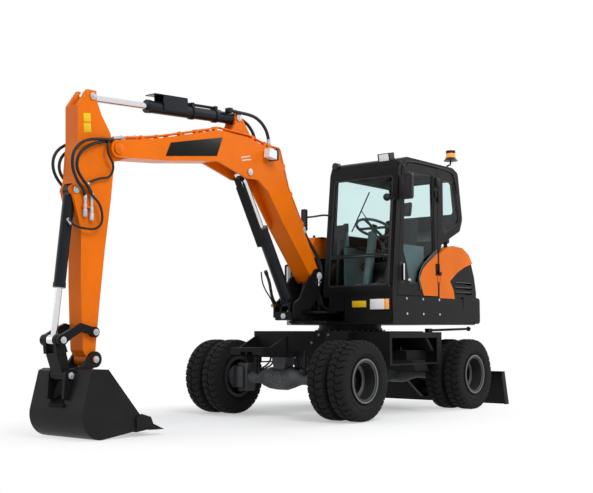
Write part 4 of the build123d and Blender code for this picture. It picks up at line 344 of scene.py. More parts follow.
@dataclass(frozen=True)
class Rubber:
    """Tyre or hose rubber with fine mould grain and dust in its hollows."""

    name: str
    colour: Colour
    roughness: float = 0.8
    dust: float = 0.35

    def make(self) -> bpy.types.Material:
        """Builds the material.

        Returns:
            The material.
        """
        r = Recipe(self.name)
        cloud = r.noise(14.0, 5.0, 0.65)
        grain = r.noise(520.0, 2.0)
        dusty = tuple(c * 1.5 + 0.03 for c in self.colour)
        r.set(
            Base_Color=r.blend((cloud.ramp(0.45, 0.8) * self.dust).clamped(), self.colour, dusty),
            Specular_IOR_Level=0.16,
        )
        r.set(Roughness=(cloud * 0.18 + self.roughness - 0.08).clamped())
        r.bump(grain + cloud, 0.2, 0.0008)
        return r.material


@dataclass(frozen=True)
class Chrome:
    """Polished rod chrome with faint lengthwise polish marks."""

    name: str

    def make(self) -> bpy.types.Material:
        """Builds the material.

        Returns:
            The material.
        """
        r = Recipe(self.name)
        haze = r.noise(40.0, 4.0, 0.6)
        r.set(Base_Color=r.blend(haze, (0.62, 0.63, 0.65), (0.78, 0.79, 0.8)), Metallic=1.0)
        r.set(Roughness=(haze * 0.12 + 0.1).clamped())
        r.bump(r.noise(900.0, 1.0), 0.03, 0.0002)
        return r.material


@dataclass(frozen=True)
class Glass:
    """Tinted safety glass seen as a thin pane."""

    name: str
    colour: Colour
    bending: float = 1.16

    def make(self) -> bpy.types.Material:
        """Builds the material.

        Returns:
            The material.
        """
        r = Recipe(self.name)
        smear = r.noise(3.0, 4.0, 0.6)
        r.set(
            Base_Color=r.blend(smear, self.colour, tuple(min(1.0, c * 1.04) for c in self.colour)),
            IOR=self.bending
        )
        r.set(Roughness=(smear * 0.01).clamped(), Transmission_Weight=1.0)
        return r.material


@dataclass(frozen=True)
class Plastic:
    """Moulded plastic with a fine texture."""

    name: str
    colour: Colour
    roughness: float = 0.5

    def make(self) -> bpy.types.Material:
        """Builds the material.

        Returns:
            The material.
        """
        r = Recipe(self.name)
        cloud = r.noise(5.0, 4.0, 0.6)
        grain = r.noise(700.0, 2.0)
        r.set(
            Base_Color=r.blend(cloud.ramp(0.4, 0.7), self.colour, tuple(c * 1.25 + 0.004 for c in self.colour)),
            Specular_IOR_Level=0.2
        )
        r.set(Roughness=(cloud * 0.14 + self.roughness - 0.07).clamped())
        r.bump(grain, 0.15, 0.0004)
        return r.material


@dataclass(frozen=True)
class Cloth:
    """Woven seat cloth."""

    name: str
    colour: Colour

    def make(self) -> bpy.types.Material:
        """Builds the material.

        Returns:
            The material.
        """
        r = Recipe(self.name)
        x, y, z = r.axes()
        weave = (x * 1400.0).maths("SINE") * (y * 1400.0 + z * 1400.0).maths("SINE")
        cloud = r.noise(8.0, 4.0, 0.6)
        r.set(Base_Color=r.blend(cloud, self.colour, tuple(c * 1.6 + 0.01 for c in self.colour)), Roughness=0.92)
        r.bump(weave + cloud * 2.0, 0.35, 0.001)
        return r.material


@dataclass(frozen=True)
class Lens:
    """Ribbed lamp cover."""

    name: str
    colour: Colour
    glow: float = 0.0

    def make(self) -> bpy.types.Material:
        """Builds the material.

        Returns:
            The material.
        """
        r = Recipe(self.name)
        _, y, z = r.axes()
        ribs = (y * 900.0).maths("SINE") * 0.5 + (z * 420.0).maths("SINE") * 0.5
        haze = r.noise(30.0, 3.0)
        r.set(Base_Color=r.blend(haze, self.colour, tuple(c * 0.8 for c in self.colour)), Coat_Weight=0.8)
        r.set(
            Roughness=(haze * 0.1 + 0.12).clamped(), Emission_Color=(*self.colour, 1.0),
            Emission_Strength=self.glow,
        )
        r.bump(ribs, 0.35, 0.002)
        return r.material


class Finish(Enum):
    """Every finish of the machine."""

    ORANGE = Paint("orange_paint", (0.85, 0.165, 0.0), 0.34, 0.2, 0.008, shine=0.1)
    CHARCOAL = Paint("charcoal_paint", (0.0062, 0.0064, 0.0072), 0.42, 0.1, 0.012, shine=0.09)
    FRAME = Paint("frame_paint", (0.0065, 0.0067, 0.0072), 0.5, 0.06, 0.03, 1.0, 0.09)
    BLACK = Paint("cylinder_black", (0.008, 0.0105, 0.0145), 0.3, 0.3, 0.015, shine=0.12)
    RIM = Paint("rim_grey", (0.022, 0.023, 0.024), 0.4, 0.1, 0.06, 0.9)
    RING = Paint("ring_grey", (0.16, 0.165, 0.17), 0.35, 0.2, 0.1, 0.9)
    BUCKET = Paint("bucket_black", (0.0085, 0.009, 0.0105), 0.45, 0.1, 0.03, 1.2, 0.1)
    PALE = Paint("plain_white", (0.72, 0.72, 0.7), 0.4, 0.2, 0.03)
    YELLOW = Paint("plain_yellow", (0.86, 0.56, 0.01), 0.4, 0.2, 0.03)
    LATCH = Plastic("latch_red", (0.35, 0.035, 0.01), 0.45)
    ZINC = Casting("zinc_plate", (0.42, 0.43, 0.45), 0.38)
    BRASS = Casting("brass_fitting", (0.42, 0.27, 0.09), 0.4)
    IRON = Casting("axle_casting", (0.05, 0.052, 0.055))
    RED = Lens("red_lens", (0.45, 0.01, 0.01), 0.1)
    ENGINE = Casting("engine_casting", (0.06, 0.06, 0.06), 0.7)
    TYRE = Rubber("tyre_rubber", (0.0095, 0.0095, 0.01), 0.8, 0.2)
    HOSE = Rubber("hose_rubber", (0.022, 0.0195, 0.0185), 0.5, 0.1)
    CHROME = Chrome("rod_chrome")
    GLASS = Glass("teal_glass", (0.78, 0.89, 0.89))
    TRIM = Plastic("black_plastic", (0.016, 0.016, 0.018), 0.45)
    CONSOLE = Plastic("console_plastic", (0.09, 0.13, 0.14), 0.55)
    SEAT = Cloth("seat_cloth", (0.014, 0.014, 0.016))
    LENS = Lens("clear_lens", (0.75, 0.77, 0.78), 0.15)
    AMBER = Lens("amber_lens", (0.9, 0.33, 0.02), 0.35)


class Wardrobe:
    """Makes each finish once and hands it out."""

    def __init__(self) -> None:
        """Starts empty."""
        self.made: dict[Finish, bpy.types.Material] = {}

    def get(self, finish: Finish) -> bpy.types.Material:
        """The finish's material."""
        if finish not in self.made:
            self.made[finish] = finish.value.make()
        return self.made[finish]

    def dress(self, obj: bpy.types.Object, finish: Finish) -> None:
        """Puts one finish all over a piece."""
        obj.data.materials.clear()
        obj.data.materials.append(self.get(finish))


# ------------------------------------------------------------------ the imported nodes
SLOT_FINISH: dict[str, Finish] = {
    "dark_paint": Finish.CHARCOAL,
    "orange_paint": Finish.ORANGE,
    "orange_pipe": Finish.ORANGE,
    "tyre_rubber": Finish.TYRE,
    "rim_paint": Finish.RIM,
    "chrome": Finish.CHROME,
    "cylinder_paint": Finish.BLACK,
    "tinted_glass": Finish.GLASS,
    "seat_cloth": Finish.SEAT,
    "cab_plastic": Finish.CONSOLE,
    "engine_iron": Finish.ENGINE,
    "lamp_lens": Finish.LENS,
    "trim_black": Finish.TRIM,
    "hose_rubber": Finish.HOSE,
}
NODE_FINISH: dict[str, Finish] = {
    "chassis": Finish.FRAME,
    "side_steps": Finish.FRAME,
    "front_axle": Finish.IRON,
    "rear_axle": Finish.IRON,
    "drive_line": Finish.IRON,
    "knuckle_left": Finish.IRON,
    "knuckle_right": Finish.IRON,
    "bucket": Finish.BUCKET,
    "lamps": Finish.TRIM,
}


def dress_nodes(wardrobe: Wardrobe) -> None:
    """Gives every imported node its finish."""
    slots = {s["node"]: s["material_slot"] for s in frame["record"]["subparts"]}
    for name, node in frame["nodes"].items():
        wardrobe.dress(node, NODE_FINISH.get(name) or SLOT_FINISH[slots[name]])
        LOG.info("dressed %s", name)


# ------------------------------------------------------------------ the workbench
class Bench:
    """Hand tools: primitives that are shaped in edit mode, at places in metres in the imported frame."""

    @staticmethod
    def clear() -> None:
        """Leaves edit mode and deselects everything."""
        if bpy.context.object is not None and bpy.context.object.mode != "OBJECT":
            bpy.ops.object.mode_set(mode="OBJECT")
        bpy.ops.object.select_all(action="DESELECT")

    @classmethod
    def alone(cls, *objects: bpy.types.Object) -> None:
        """Selects only these objects and makes the first one active."""
        cls.clear()
        for obj in objects:
            obj.select_set(True)
        bpy.context.view_layer.objects.active = objects[0]

    @classmethod
    def settle(cls, obj: bpy.types.Object) -> bpy.types.Object:
        """Moves an object's place into its mesh.

        Args:
            obj: the object to work on.

        Returns:
            The same object, with its place in its mesh.
        """
        cls.alone(obj)
        bpy.ops.object.transform_apply(location=True, rotation=True, scale=True)
        return obj

    @classmethod
    def modify(cls, obj: bpy.types.Object, kind: str, **settings: Any) -> bpy.types.Object:
        """Adds a modifier with its settings and applies it.

        Args:
            obj: the object to work on.
            kind: the modifier's type.
            settings: the modifier's properties.

        Returns:
            The same object.
        """
        cls.alone(obj)
        modifier = obj.modifiers.new(kind.lower(), kind)
        for key, value in settings.items():
            setattr(modifier, key, value)
        bpy.ops.object.modifier_apply(modifier=modifier.name)
        return obj

    @classmethod
    def rounded(cls, obj: bpy.types.Object, width: float, segments: int = 2) -> bpy.types.Object:
        """Rounds the sharp edges by a width in millimetres.

        Args:
            obj: the object to work on.
            width: the rounding's width in millimetres.
            segments: how many faces each rounding has.

        Returns:
            The same object.
        """
        if width <= 0:
            return obj
        settings = {"width": width / 1000, "segments": segments, "limit_method": "ANGLE", "angle_limit": 0.6}
        return cls.modify(obj, "BEVEL", **settings)

    @classmethod
    def block(cls, low: Sequence[float], high: Sequence[float], bevel: float = 2.0) -> bpy.types.Object:
        """A box between two corners in machine millimetres, with rounded edges.

        Args:
            low: the lowest corner in machine millimetres.
            high: the highest corner in machine millimetres.
            bevel: the rounding of its edges in millimetres.

        Returns:
            The block.
        """
        cls.clear()
        bpy.ops.mesh.primitive_cube_add(size=1.0, location=(at(*low) + at(*high)) / 2)
        obj = bpy.context.active_object
        obj.scale = at(*high) - at(*low)
        return cls.rounded(cls.settle(obj), bevel)

    @classmethod
    def rod(cls, start: Vector, end: Vector, radius: float, end_radius: float | None = None, sides: int = 24,
            bevel: float = 1.0) -> bpy.types.Object:
        """A round bar or cone.

        Args:
            start: its first end.
            end: its other end.
            radius: at the start, in millimetres.
            end_radius: at the end, where it differs.
            sides: number of flats.
            bevel: rounding of its rims in millimetres.

        Returns:
            The piece.
        """
        cls.clear()
        line = end - start
        far = radius if end_radius is None else end_radius
        bpy.ops.mesh.primitive_cone_add(
            vertices=sides, radius1=radius / 1000, radius2=far / 1000, depth=line.length,
            location=(start + end) / 2, rotation=line.to_track_quat("Z", "Y").to_euler(),
        )
        return cls.rounded(cls.settle(bpy.context.active_object), bevel)

    @classmethod
    def chain(cls, points: Sequence[Vector]) -> bpy.types.Object:
        """Draws edges from point to point: a plane merged to one vertex, which is extruded along. Stays in edit mode.

        Args:
            points: the points it runs through, in order.

        Returns:
            The chain of edges.
        """
        cls.clear()
        bpy.ops.mesh.primitive_plane_add(size=0.01, location=points[0])
        obj = bpy.context.active_object
        bpy.ops.object.mode_set(mode="EDIT")
        bpy.ops.mesh.select_mode(type="VERT")
        bpy.ops.mesh.select_all(action="SELECT")
        bpy.ops.mesh.merge(type="CENTER")
        for first, second in zip(points, points[1:]):
            bpy.ops.mesh.extrude_vertices_move(TRANSFORM_OT_translate={"value": tuple(second - first)})
        bpy.ops.mesh.select_all(action="SELECT")
        return obj

    @classmethod
    def plate(cls, points: Sequence[Vector], thick: Vector, bevel: float = 1.0) -> bpy.types.Object:
        """A plate from its outline and its thickness as a vector.

        Args:
            points: the points it runs through, in order.
            thick: the thickness, as a vector from the outline.
            bevel: the rounding of its edges in millimetres.

        Returns:
            The plate.
        """
        obj = cls.chain(points)
        bpy.ops.mesh.edge_face_add()
        bpy.ops.mesh.extrude_region_move(TRANSFORM_OT_translate={"value": tuple(thick)})
        bpy.ops.mesh.select_all(action="SELECT")
        bpy.ops.mesh.normals_make_consistent(inside=False)
        return cls.rounded(cls.settle(obj), bevel)

    @classmethod
    def rim(cls, points: Sequence[Vector], width: float, thick: Vector, bevel: float = 0.0) -> bpy.types.Object:
        """A frame that follows an outline inwards, such as a window seal.

        Args:
            points: the points it runs through, in order.
            width: the width of the band in millimetres.
            thick: the thickness, as a vector from the outline.
            bevel: the rounding of its edges in millimetres.

        Returns:
            The band.
        """
        obj = cls.chain(points)
        bpy.ops.mesh.edge_face_add()
        bpy.ops.mesh.select_mode(type="FACE")
        bpy.ops.mesh.select_all(action="SELECT")
        bpy.ops.mesh.inset(thickness=width / 1000, depth=0.0)
        bpy.ops.mesh.delete(type="FACE")
        bpy.ops.mesh.select_all(action="SELECT")
        bpy.ops.mesh.extrude_region_move(TRANSFORM_OT_translate={"value": tuple(thick)})
        bpy.ops.mesh.select_all(action="SELECT")
        bpy.ops.mesh.normals_make_consistent(inside=False)
        return cls.rounded(cls.settle(obj), bevel)

    @classmethod
    def lathe(cls, points: Sequence[Vector], centre: Vector, axis: Vector, steps: int = 48) -> bpy.types.Object:
        """A closed section turned about an axis.

        Args:
            points: the points it runs through, in order.
            centre: the middle of the turn.
            axis: the axis of the turn.
            steps: how many steps a full turn has.

        Returns:
            The turned piece.
        """
        obj = cls.chain([*points, points[0]])
        bpy.ops.mesh.spin(steps=steps, angle=2 * math.pi, center=centre, axis=axis)
        bpy.ops.mesh.select_all(action="SELECT")
        bpy.ops.mesh.remove_doubles(threshold=0.00002)
        bpy.ops.mesh.normals_make_consistent(inside=False)
        return cls.settle(obj)

    @classmethod
    def tube(cls, points: Sequence[Vector], radius: float, order: int = 3, sides: int = 3) -> bpy.types.Object:
        """A hose or pipe along one smooth line.

        Args:
            points: the line's control points.
            radius: in millimetres.
            order: 3 follows the points closely, 4 is looser.
            sides: roundness of its section.

        Returns:
            The piece as a mesh.
        """
        data = bpy.data.curves.new("line", "CURVE")
        data.dimensions, data.use_fill_caps = "3D", True
        data.bevel_depth, data.bevel_resolution, data.resolution_u = radius / 1000, sides, 8
        spline = data.splines.new("NURBS")
        spline.points.add(len(points) - 1)
        for knot, point in zip(spline.points, points):
            knot.co = (*point, 1.0)
        spline.order_u, spline.use_endpoint_u = min(order, len(points)), True
        obj = bpy.data.objects.new("line", data)
        bpy.context.scene.collection.objects.link(obj)
        cls.alone(obj)
        bpy.ops.object.convert(target="MESH")
        return bpy.context.active_object

    @classmethod
    def hoop(cls, centre: Vector, axis: Vector, radius: float, thick: float, steps: int = 36) -> bpy.types.Object:
        """A round ring.

        Args:
            centre: the middle of the turn.
            axis: the axis of the turn.
            radius: the radius in millimetres.
            thick: the radius of its section in millimetres.
            steps: how many steps a full turn has.

        Returns:
            The hoop.
        """
        cls.clear()
        bpy.ops.mesh.primitive_torus_add(
            major_radius=radius / 1000, minor_radius=thick / 1000, major_segments=steps, minor_segments=8,
            location=centre, rotation=axis.to_track_quat("Z", "Y").to_euler(),
        )
        return cls.settle(bpy.context.active_object)

    @classmethod
    def join(cls, pieces: Sequence[bpy.types.Object]) -> bpy.types.Object:
        """Makes several pieces one object.

        Args:
            pieces: the objects to join.

        Returns:
            The joined piece.
        """
        cls.alone(*pieces)
        if len(pieces) > 1:
            bpy.ops.object.join()
        return bpy.context.active_object

    @classmethod
    def stamp(cls, master: bpy.types.Object, places: Iterable[tuple[Vector, Vector]]) -> bpy.types.Object:
        """Copies a small piece, drawn at the origin and standing on +Z, to each place and direction.

        Args:
            master: the piece to repeat, standing on the origin along Z.
            places: each copy's foot and direction.

        Returns:
            All the copies as one piece.
        """
        copies = []
        for point, direction in places:
            copy = master.copy()
            copy.data = master.data.copy()
            bpy.context.scene.collection.objects.link(copy)
            turn = direction.to_track_quat("Z", "Y").to_matrix().to_4x4()
            copy.data.transform(Matrix.Translation(point) @ turn)
            copies.append(copy)
        bpy.data.objects.remove(master)
        return cls.join(copies)

    @classmethod
    def copied(cls, piece: bpy.types.Object, move: Matrix) -> bpy.types.Object:
        """One more of a piece, with its own mesh, moved.

        Args:
            piece: the piece to copy.
            move: where the copy goes.

        Returns:
            The copy.
        """
        copy = piece.copy()
        copy.data = piece.data.copy()
        bpy.context.scene.collection.objects.link(copy)
        copy.data.transform(move)
        return copy

    @classmethod
    def hexagon(cls, radius: float, height: float) -> bpy.types.Object:
        """A bolt head on its washer, standing on the origin.

        Args:
            radius: the radius in millimetres.
            height: the height in millimetres.

        Returns:
            The bolt head.
        """
        cls.clear()
        origin = Vector((0, 0, 0))
        up = Vector((0, 0, height / 1000))
        head = cls.rod(origin, up, radius, radius, 6, height * 0.12)
        washer = cls.rod(origin, up * 0.22, radius * 1.35, radius * 1.35, 14, 0)
        return cls.join([head, washer])

    @classmethod
    def button(cls, radius: float, height: float) -> bpy.types.Object:
        """A domed bolt head, standing on the origin.

        Args:
            radius: the radius in millimetres.
            height: the height in millimetres.

        Returns:
            The button head.
        """
        cls.clear()
        bpy.ops.mesh.primitive_uv_sphere_add(segments=14, ring_count=8, radius=1.0, location=(0, 0, 0))
        obj = bpy.context.active_object
        obj.scale = (radius / 1000, radius / 1000, height / 1000)
        return cls.settle(obj)

    @staticmethod
    def seat(start: Vector, direction: Vector) -> Vector:
        """The first surface that is met from a point along a direction.

        Args:
            start: where it starts.
            direction: the direction to look in.

        Returns:
            The point on the surface.
        """
        hit, place, _, _, _, _ = bpy.context.scene.ray_cast(bpy.context.evaluated_depsgraph_get(), start, direction)
        if not hit:
            raise ValueError(f"nothing lies ahead of {tuple(start)}")
        return place


class Yard:
    """Finishes pieces: names and dresses them and hangs them on their bodies."""

    def __init__(self, wardrobe: Wardrobe) -> None:
        """Keeps the wardrobe."""
        self.wardrobe = wardrobe

    def deliver(self, pieces: Sequence[bpy.types.Object], name: str, body: str, finish: Finish) -> bpy.types.Object:
        """Makes one finished piece.

        Args:
            pieces: its parts.
            name: its name.
            body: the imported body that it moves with.
            finish: its finish.

        Returns:
            The piece.
        """
        piece = Bench.join(list(pieces))
        piece.name = piece.data.name = name
        self.wardrobe.dress(piece, finish)
        Bench.alone(piece)
        bpy.ops.object.shade_smooth_by_angle(angle=0.65)
        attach(piece, body)
        LOG.info("built %s, %d faces", name, len(piece.data.polygons))
        return piece


# ------------------------------------------------------------------ wheels
@dataclass
class TwinWheels:
    """Lug tyres, lock rings and wheel nuts of the four twin wheels."""

    axle_x: float = 1050.0
    axle_z: float = 386.0
    tyre_y: tuple[float, float] = (927.5, 689.5)
    radius: float = 386.0
    pitches: int = 34
    groove: float = 6.5
    depth: float = 17.0
    nut_radius: float = 140.0
    nut_count: int = 10
    bowl_y: float = 766.0
    lip_y: float = 1015.0

    def carcass(self) -> bpy.types.Object:
        """The tyre's body about the origin, with its bead, rim ring and shoulder.

        Returns:
            The tyre wall.
        """
        half = [
            (191.5, 66), (226, 73), (233, 79), (246, 84), (262, 91.5), (268, 95.5), (274, 92.5), (300, 97),
            (330, 96), (352, 91), (368, 82), (371, 62),
        ]
        points = [(r, y) for r, y in half] + [(r, -y) for r, y in reversed(half)]
        section = [Vector((0, y * MM, r * MM)) for r, y in points]
        return Bench.lathe(section, Vector((0, 0, 0)), LEFT, 84)

    def drop(self, across: float) -> float:
        """How far the crown falls at a distance from its middle."""
        return max(0.0, abs(across) - 40.0) ** 1.6 * 0.021

    def lug(self, outline: Sequence[tuple[float, float]], drops: Sequence[float], sink: float) -> bpy.types.Object:
        """One flat block of the tread: (along, across) corners, each with its drop."""
        top = [Vector((v * MM, d * MM, u * MM)) for (v, u), d in zip(outline, drops)]
        return Bench.plate(top, Vector((0, sink * MM, 0)), 1.6)

    def tread(self) -> bpy.types.Object:
        """Two rows of interlocked lugs with shoulder bars, bent round the carcass.

        Returns:
            The lugs of one tyre.
        """
        pitch = 2 * math.pi * self.radius / self.pitches
        gap = self.groove
        wave = [(-4, 86), (-9, 60), (-25, 40), (3, 3)]
        near = [(v + gap, -u) for v, u in wave]
        left = near + [
            (pitch - 5 - gap, -9), (pitch - 25 - gap, -40), (pitch - 9 - gap, -60), (pitch - 4 - gap, -86),
        ]
        right = [(pitch - v, -u) for v, u in left]
        pieces = [self.lug(shape, [self.drop(u) for _, u in shape], self.depth) for shape in (left, right)]
        for side, base in ((-1, -4.0), (1, 4.0)):
            low, high = base + gap, base + pitch - gap
            corners = [(low, 84 * side), (high, 84 * side), (high - 9, 97 * side), (low + 9, 97 * side)]
            top = [Vector((v * MM, d * MM, u * MM)) for (v, u), d in zip(corners, (8.5, 8.5, 46, 46))]
            pieces.append(Bench.plate(top, Vector((0, 12 * MM, -7 * side * MM)), 1.6))
        ring = Bench.join(pieces)
        Bench.modify(ring, "ARRAY", count=self.pitches, use_relative_offset=False, use_constant_offset=True,
                     constant_offset_displace=(pitch * MM, 0, 0))
        long = [v.co.x for v in ring.data.vertices]
        Bench.modify(
            ring, "SIMPLE_DEFORM", deform_method="BEND", deform_axis="Z",
            angle=(max(long) - min(long)) / (self.radius * MM),
        )
        ring.data.transform(Matrix.Translation((0, 0, -self.radius * MM)) @ Matrix.Rotation(math.pi / 2, 4, "X"))
        return ring

    def nuts(self, side: int) -> bpy.types.Object:
        """The wheel nuts on the disc inside the bowl, about the axle's middle.

        Args:
            side: 1 for the machine's left, -1 for its right.

        Returns:
            The nuts.
        """
        ring = []
        for step in range(self.nut_count):
            turn = 2 * math.pi * step / self.nut_count
            spot = Vector(
                (math.cos(turn) * self.nut_radius, side * self.bowl_y, math.sin(turn) * self.nut_radius)
            ) * MM
            ring.append((spot, LEFT * side))
        return Bench.stamp(Bench.hexagon(15, 22), ring)

    def lock_ring(self, side: int) -> bpy.types.Object:
        """The lock ring on the outer rim's lip and a second ridge inside it.

        Args:
            side: 1 for the machine's left, -1 for its right.

        Returns:
            The lock ring.
        """
        lip = self.lip_y
        bead = [(196, lip - 6), (211, lip - 6), (211, lip + 2), (207, lip + 4), (200, lip + 4), (196, lip + 1)]
        inner = [(178, lip - 14), (181, lip - 14), (181, lip - 3), (178, lip - 3)]
        step = [(146, lip - 150), (180, lip - 150), (180, lip - 138), (152, lip - 138), (146, lip - 143)]
        rings = []
        for section in (bead, inner, step):
            points = [Vector((0, side * y * MM, r * MM)) for r, y in section]
            rings.append(Bench.lathe(points, Vector((0, 0, 0)), LEFT, 64))
        return Bench.join(rings)

    def build(self, yard: Yard) -> None:
        """Builds the four corners.

        Args:
            yard: where finished pieces are handed over.
        """
        tyre = Bench.join([self.carcass(), self.tread()])
        for name, x, side in (
            ("front_left", 1, 1), ("front_right", 1, -1), ("rear_left", -1, 1), ("rear_right", -1, -1),
        ):
            centre = at(x * self.axle_x, 0, self.axle_z)
            pair = []
            for step, y in enumerate(self.tyre_y):
                move = Matrix.Translation(centre + LEFT * side * y * MM) @ Matrix.Rotation(0.35 * step + x, 4, "Y")
                pair.append(Bench.copied(tyre, move))
            piece = yard.deliver(pair, f"lug_tyres_{name}", f"wheel_{name}", Finish.TYRE)
            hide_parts(f"tyres_{name}")
            trim = Bench.join([self.nuts(side), self.lock_ring(side)])
            trim.data.transform(Matrix.Translation(centre))
            yard.deliver([trim], f"wheel_trim_{name}", f"wheel_{name}", Finish.RING)
        bpy.data.objects.remove(tyre)


# ------------------------------------------------------------------ undercarriage and blade
@dataclass
class Undercarriage:
    """Bolts, hoses and wear parts of the chassis, the axles and the blade."""

    slew_x: float = -100.0
    ring_bolts: int = 32
    ring_radius: float = 378.0
    deck_half: float = 415.0
    axle_x: float = 1050.0
    axle_z: float = 386.0
    cover_bolts: int = 12
    cover_radius: float = 62.0
    deck_z: float = 861.0
    edge_half: float = 950.0

    def ring(self) -> bpy.types.Object:
        """The slewing ring's bolts, seen below the deck.

        Returns:
            The bolts of the slew ring.
        """
        spots = []
        for step in range(self.ring_bolts):
            turn = 2 * math.pi * step / self.ring_bolts
            x, y = self.slew_x + math.cos(turn) * self.ring_radius, math.sin(turn) * self.ring_radius
            if abs(y) < self.deck_half:
                spots.append((at(x, y, self.deck_z), UP))
        return Bench.stamp(Bench.hexagon(9, 13), spots)

    def axle_bolts(self) -> bpy.types.Object:
        """Bolts round both differential housings.

        Returns:
            The bolts.
        """
        spots = []
        for end, aim in ((1, BACK), (-1, AHEAD)):
            for step in range(self.cover_bolts):
                turn = 2 * math.pi * step / self.cover_bolts
                y, z = math.cos(turn) * self.cover_radius, self.axle_z + math.sin(turn) * self.cover_radius
                spots.append((Bench.seat(at(end * (self.axle_x + 400), y, z), aim), -aim))
        return Bench.stamp(Bench.hexagon(8, 9), spots)

    def plate_bolts(self) -> bpy.types.Object:
        """Four bolts on each chassis flank.

        Returns:
            The bolts.
        """
        spots = []
        for side in (1, -1):
            for x, z in ((640, 820), (640, 660), (760, 820), (880, 740)):
                start = at(x, side * 600, z)
                spots.append((Bench.seat(start, RIGHT * side), LEFT * side))
        return Bench.stamp(Bench.hexagon(11, 12), spots)

    def hoses(self) -> bpy.types.Object:
        """Steering and lock hoses that drop from the chassis to the front axle.

        Returns:
            The hoses.
        """
        lines = []
        for side in (1, -1):
            for step in (0, 1):
                y = side * (150 + 45 * step)
                lines.append(Bench.tube([
                    at(1010, y, 612), at(1012, y + side * 4, 560), at(1030 + 16 * step, y + side * 36, 505),
                    at(1040, y + side * 92, 486), at(1050, y + side * 120, 452),
                ], 9))
        return Bench.join(lines)

    def blade_edge(self) -> bpy.types.Object:
        """The bolted wear edge along the blade's foot.

        Returns:
            The cutting edge.
        """
        low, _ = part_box("blade")
        foot = low[2] / MM
        x = (low[0] - SHIFT_X) / MM
        edge = Bench.block((x - 3, -self.edge_half, foot + 2), (x + 16, self.edge_half, foot + 92), 3)
        heads = []
        for step in range(9):
            y = -self.edge_half + 90 + step * (2 * self.edge_half - 180) / 8
            heads.append((at(x - 3, y, foot + 50), BACK))
        return Bench.join([edge, Bench.stamp(Bench.button(14, 7), heads)])

    def pins(self) -> bpy.types.Object:
        """Pin heads of the blade's arms and cylinder.

        Returns:
            The pin heads.
        """
        spots = []
        for (x, z), start_y in ((BLADE_PIN, 420.0), (BLADE_CYLINDER_BASE, 300.0), (BLADE_CYLINDER_PIN, 300.0)):
            for side in (1, -1):
                spots.append((Bench.seat(at(x, side * start_y, z), RIGHT * side), LEFT * side))
        return Bench.stamp(pin_cap(20), spots)

    def stairs(self) -> bpy.types.Object:
        """Grip ribs on the steps of both side boxes.

        Returns:
            The studs of the steps.
        """
        ribs = []
        for side in (1, -1):
            for step in range(6):
                x = -95 - 58 * step
                low, high = sorted((side * 600, side * 745))
                ribs.append(Bench.block((x - 7, low, 651), (x + 7, high, 656), 1.5))
        return Bench.join(ribs)

    def build(self, yard: Yard) -> None:
        """Builds everything below the slewing ring.

        Args:
            yard: where finished pieces are handed over.
        """
        yard.deliver(
            [self.ring(), self.axle_bolts(), self.plate_bolts()], "chassis_bolts", "undercarriage", Finish.RING,
        )
        yard.deliver([self.hoses()], "steering_hoses", "undercarriage", Finish.HOSE)
        yard.deliver([self.stairs()], "step_ribs", "undercarriage", Finish.RING)
        yard.deliver([self.blade_edge()], "blade_wear_edge", "blade", Finish.RING)
        yard.deliver([self.pins()], "blade_pin_heads", "undercarriage", Finish.ZINC)


def pin_cap(radius: float) -> bpy.types.Object:
    """A pin's end plate with its raised boss and grease nipple, standing on the origin.

    Args:
        radius: the radius in millimetres.

    Returns:
        The pin head.
    """
    origin = Vector((0, 0, 0))
    disc = Bench.rod(origin, UP * 7 * MM, radius, radius, 28, 1.5)
    boss = Bench.rod(UP * 6 * MM, UP * 11 * MM, radius * 0.55, radius * 0.5, 20, 1.2)
    nipple = Bench.rod(UP * 10 * MM, UP * 18 * MM, 4, 2.5, 8, 0.5)
    return Bench.join([disc, boss, nipple])


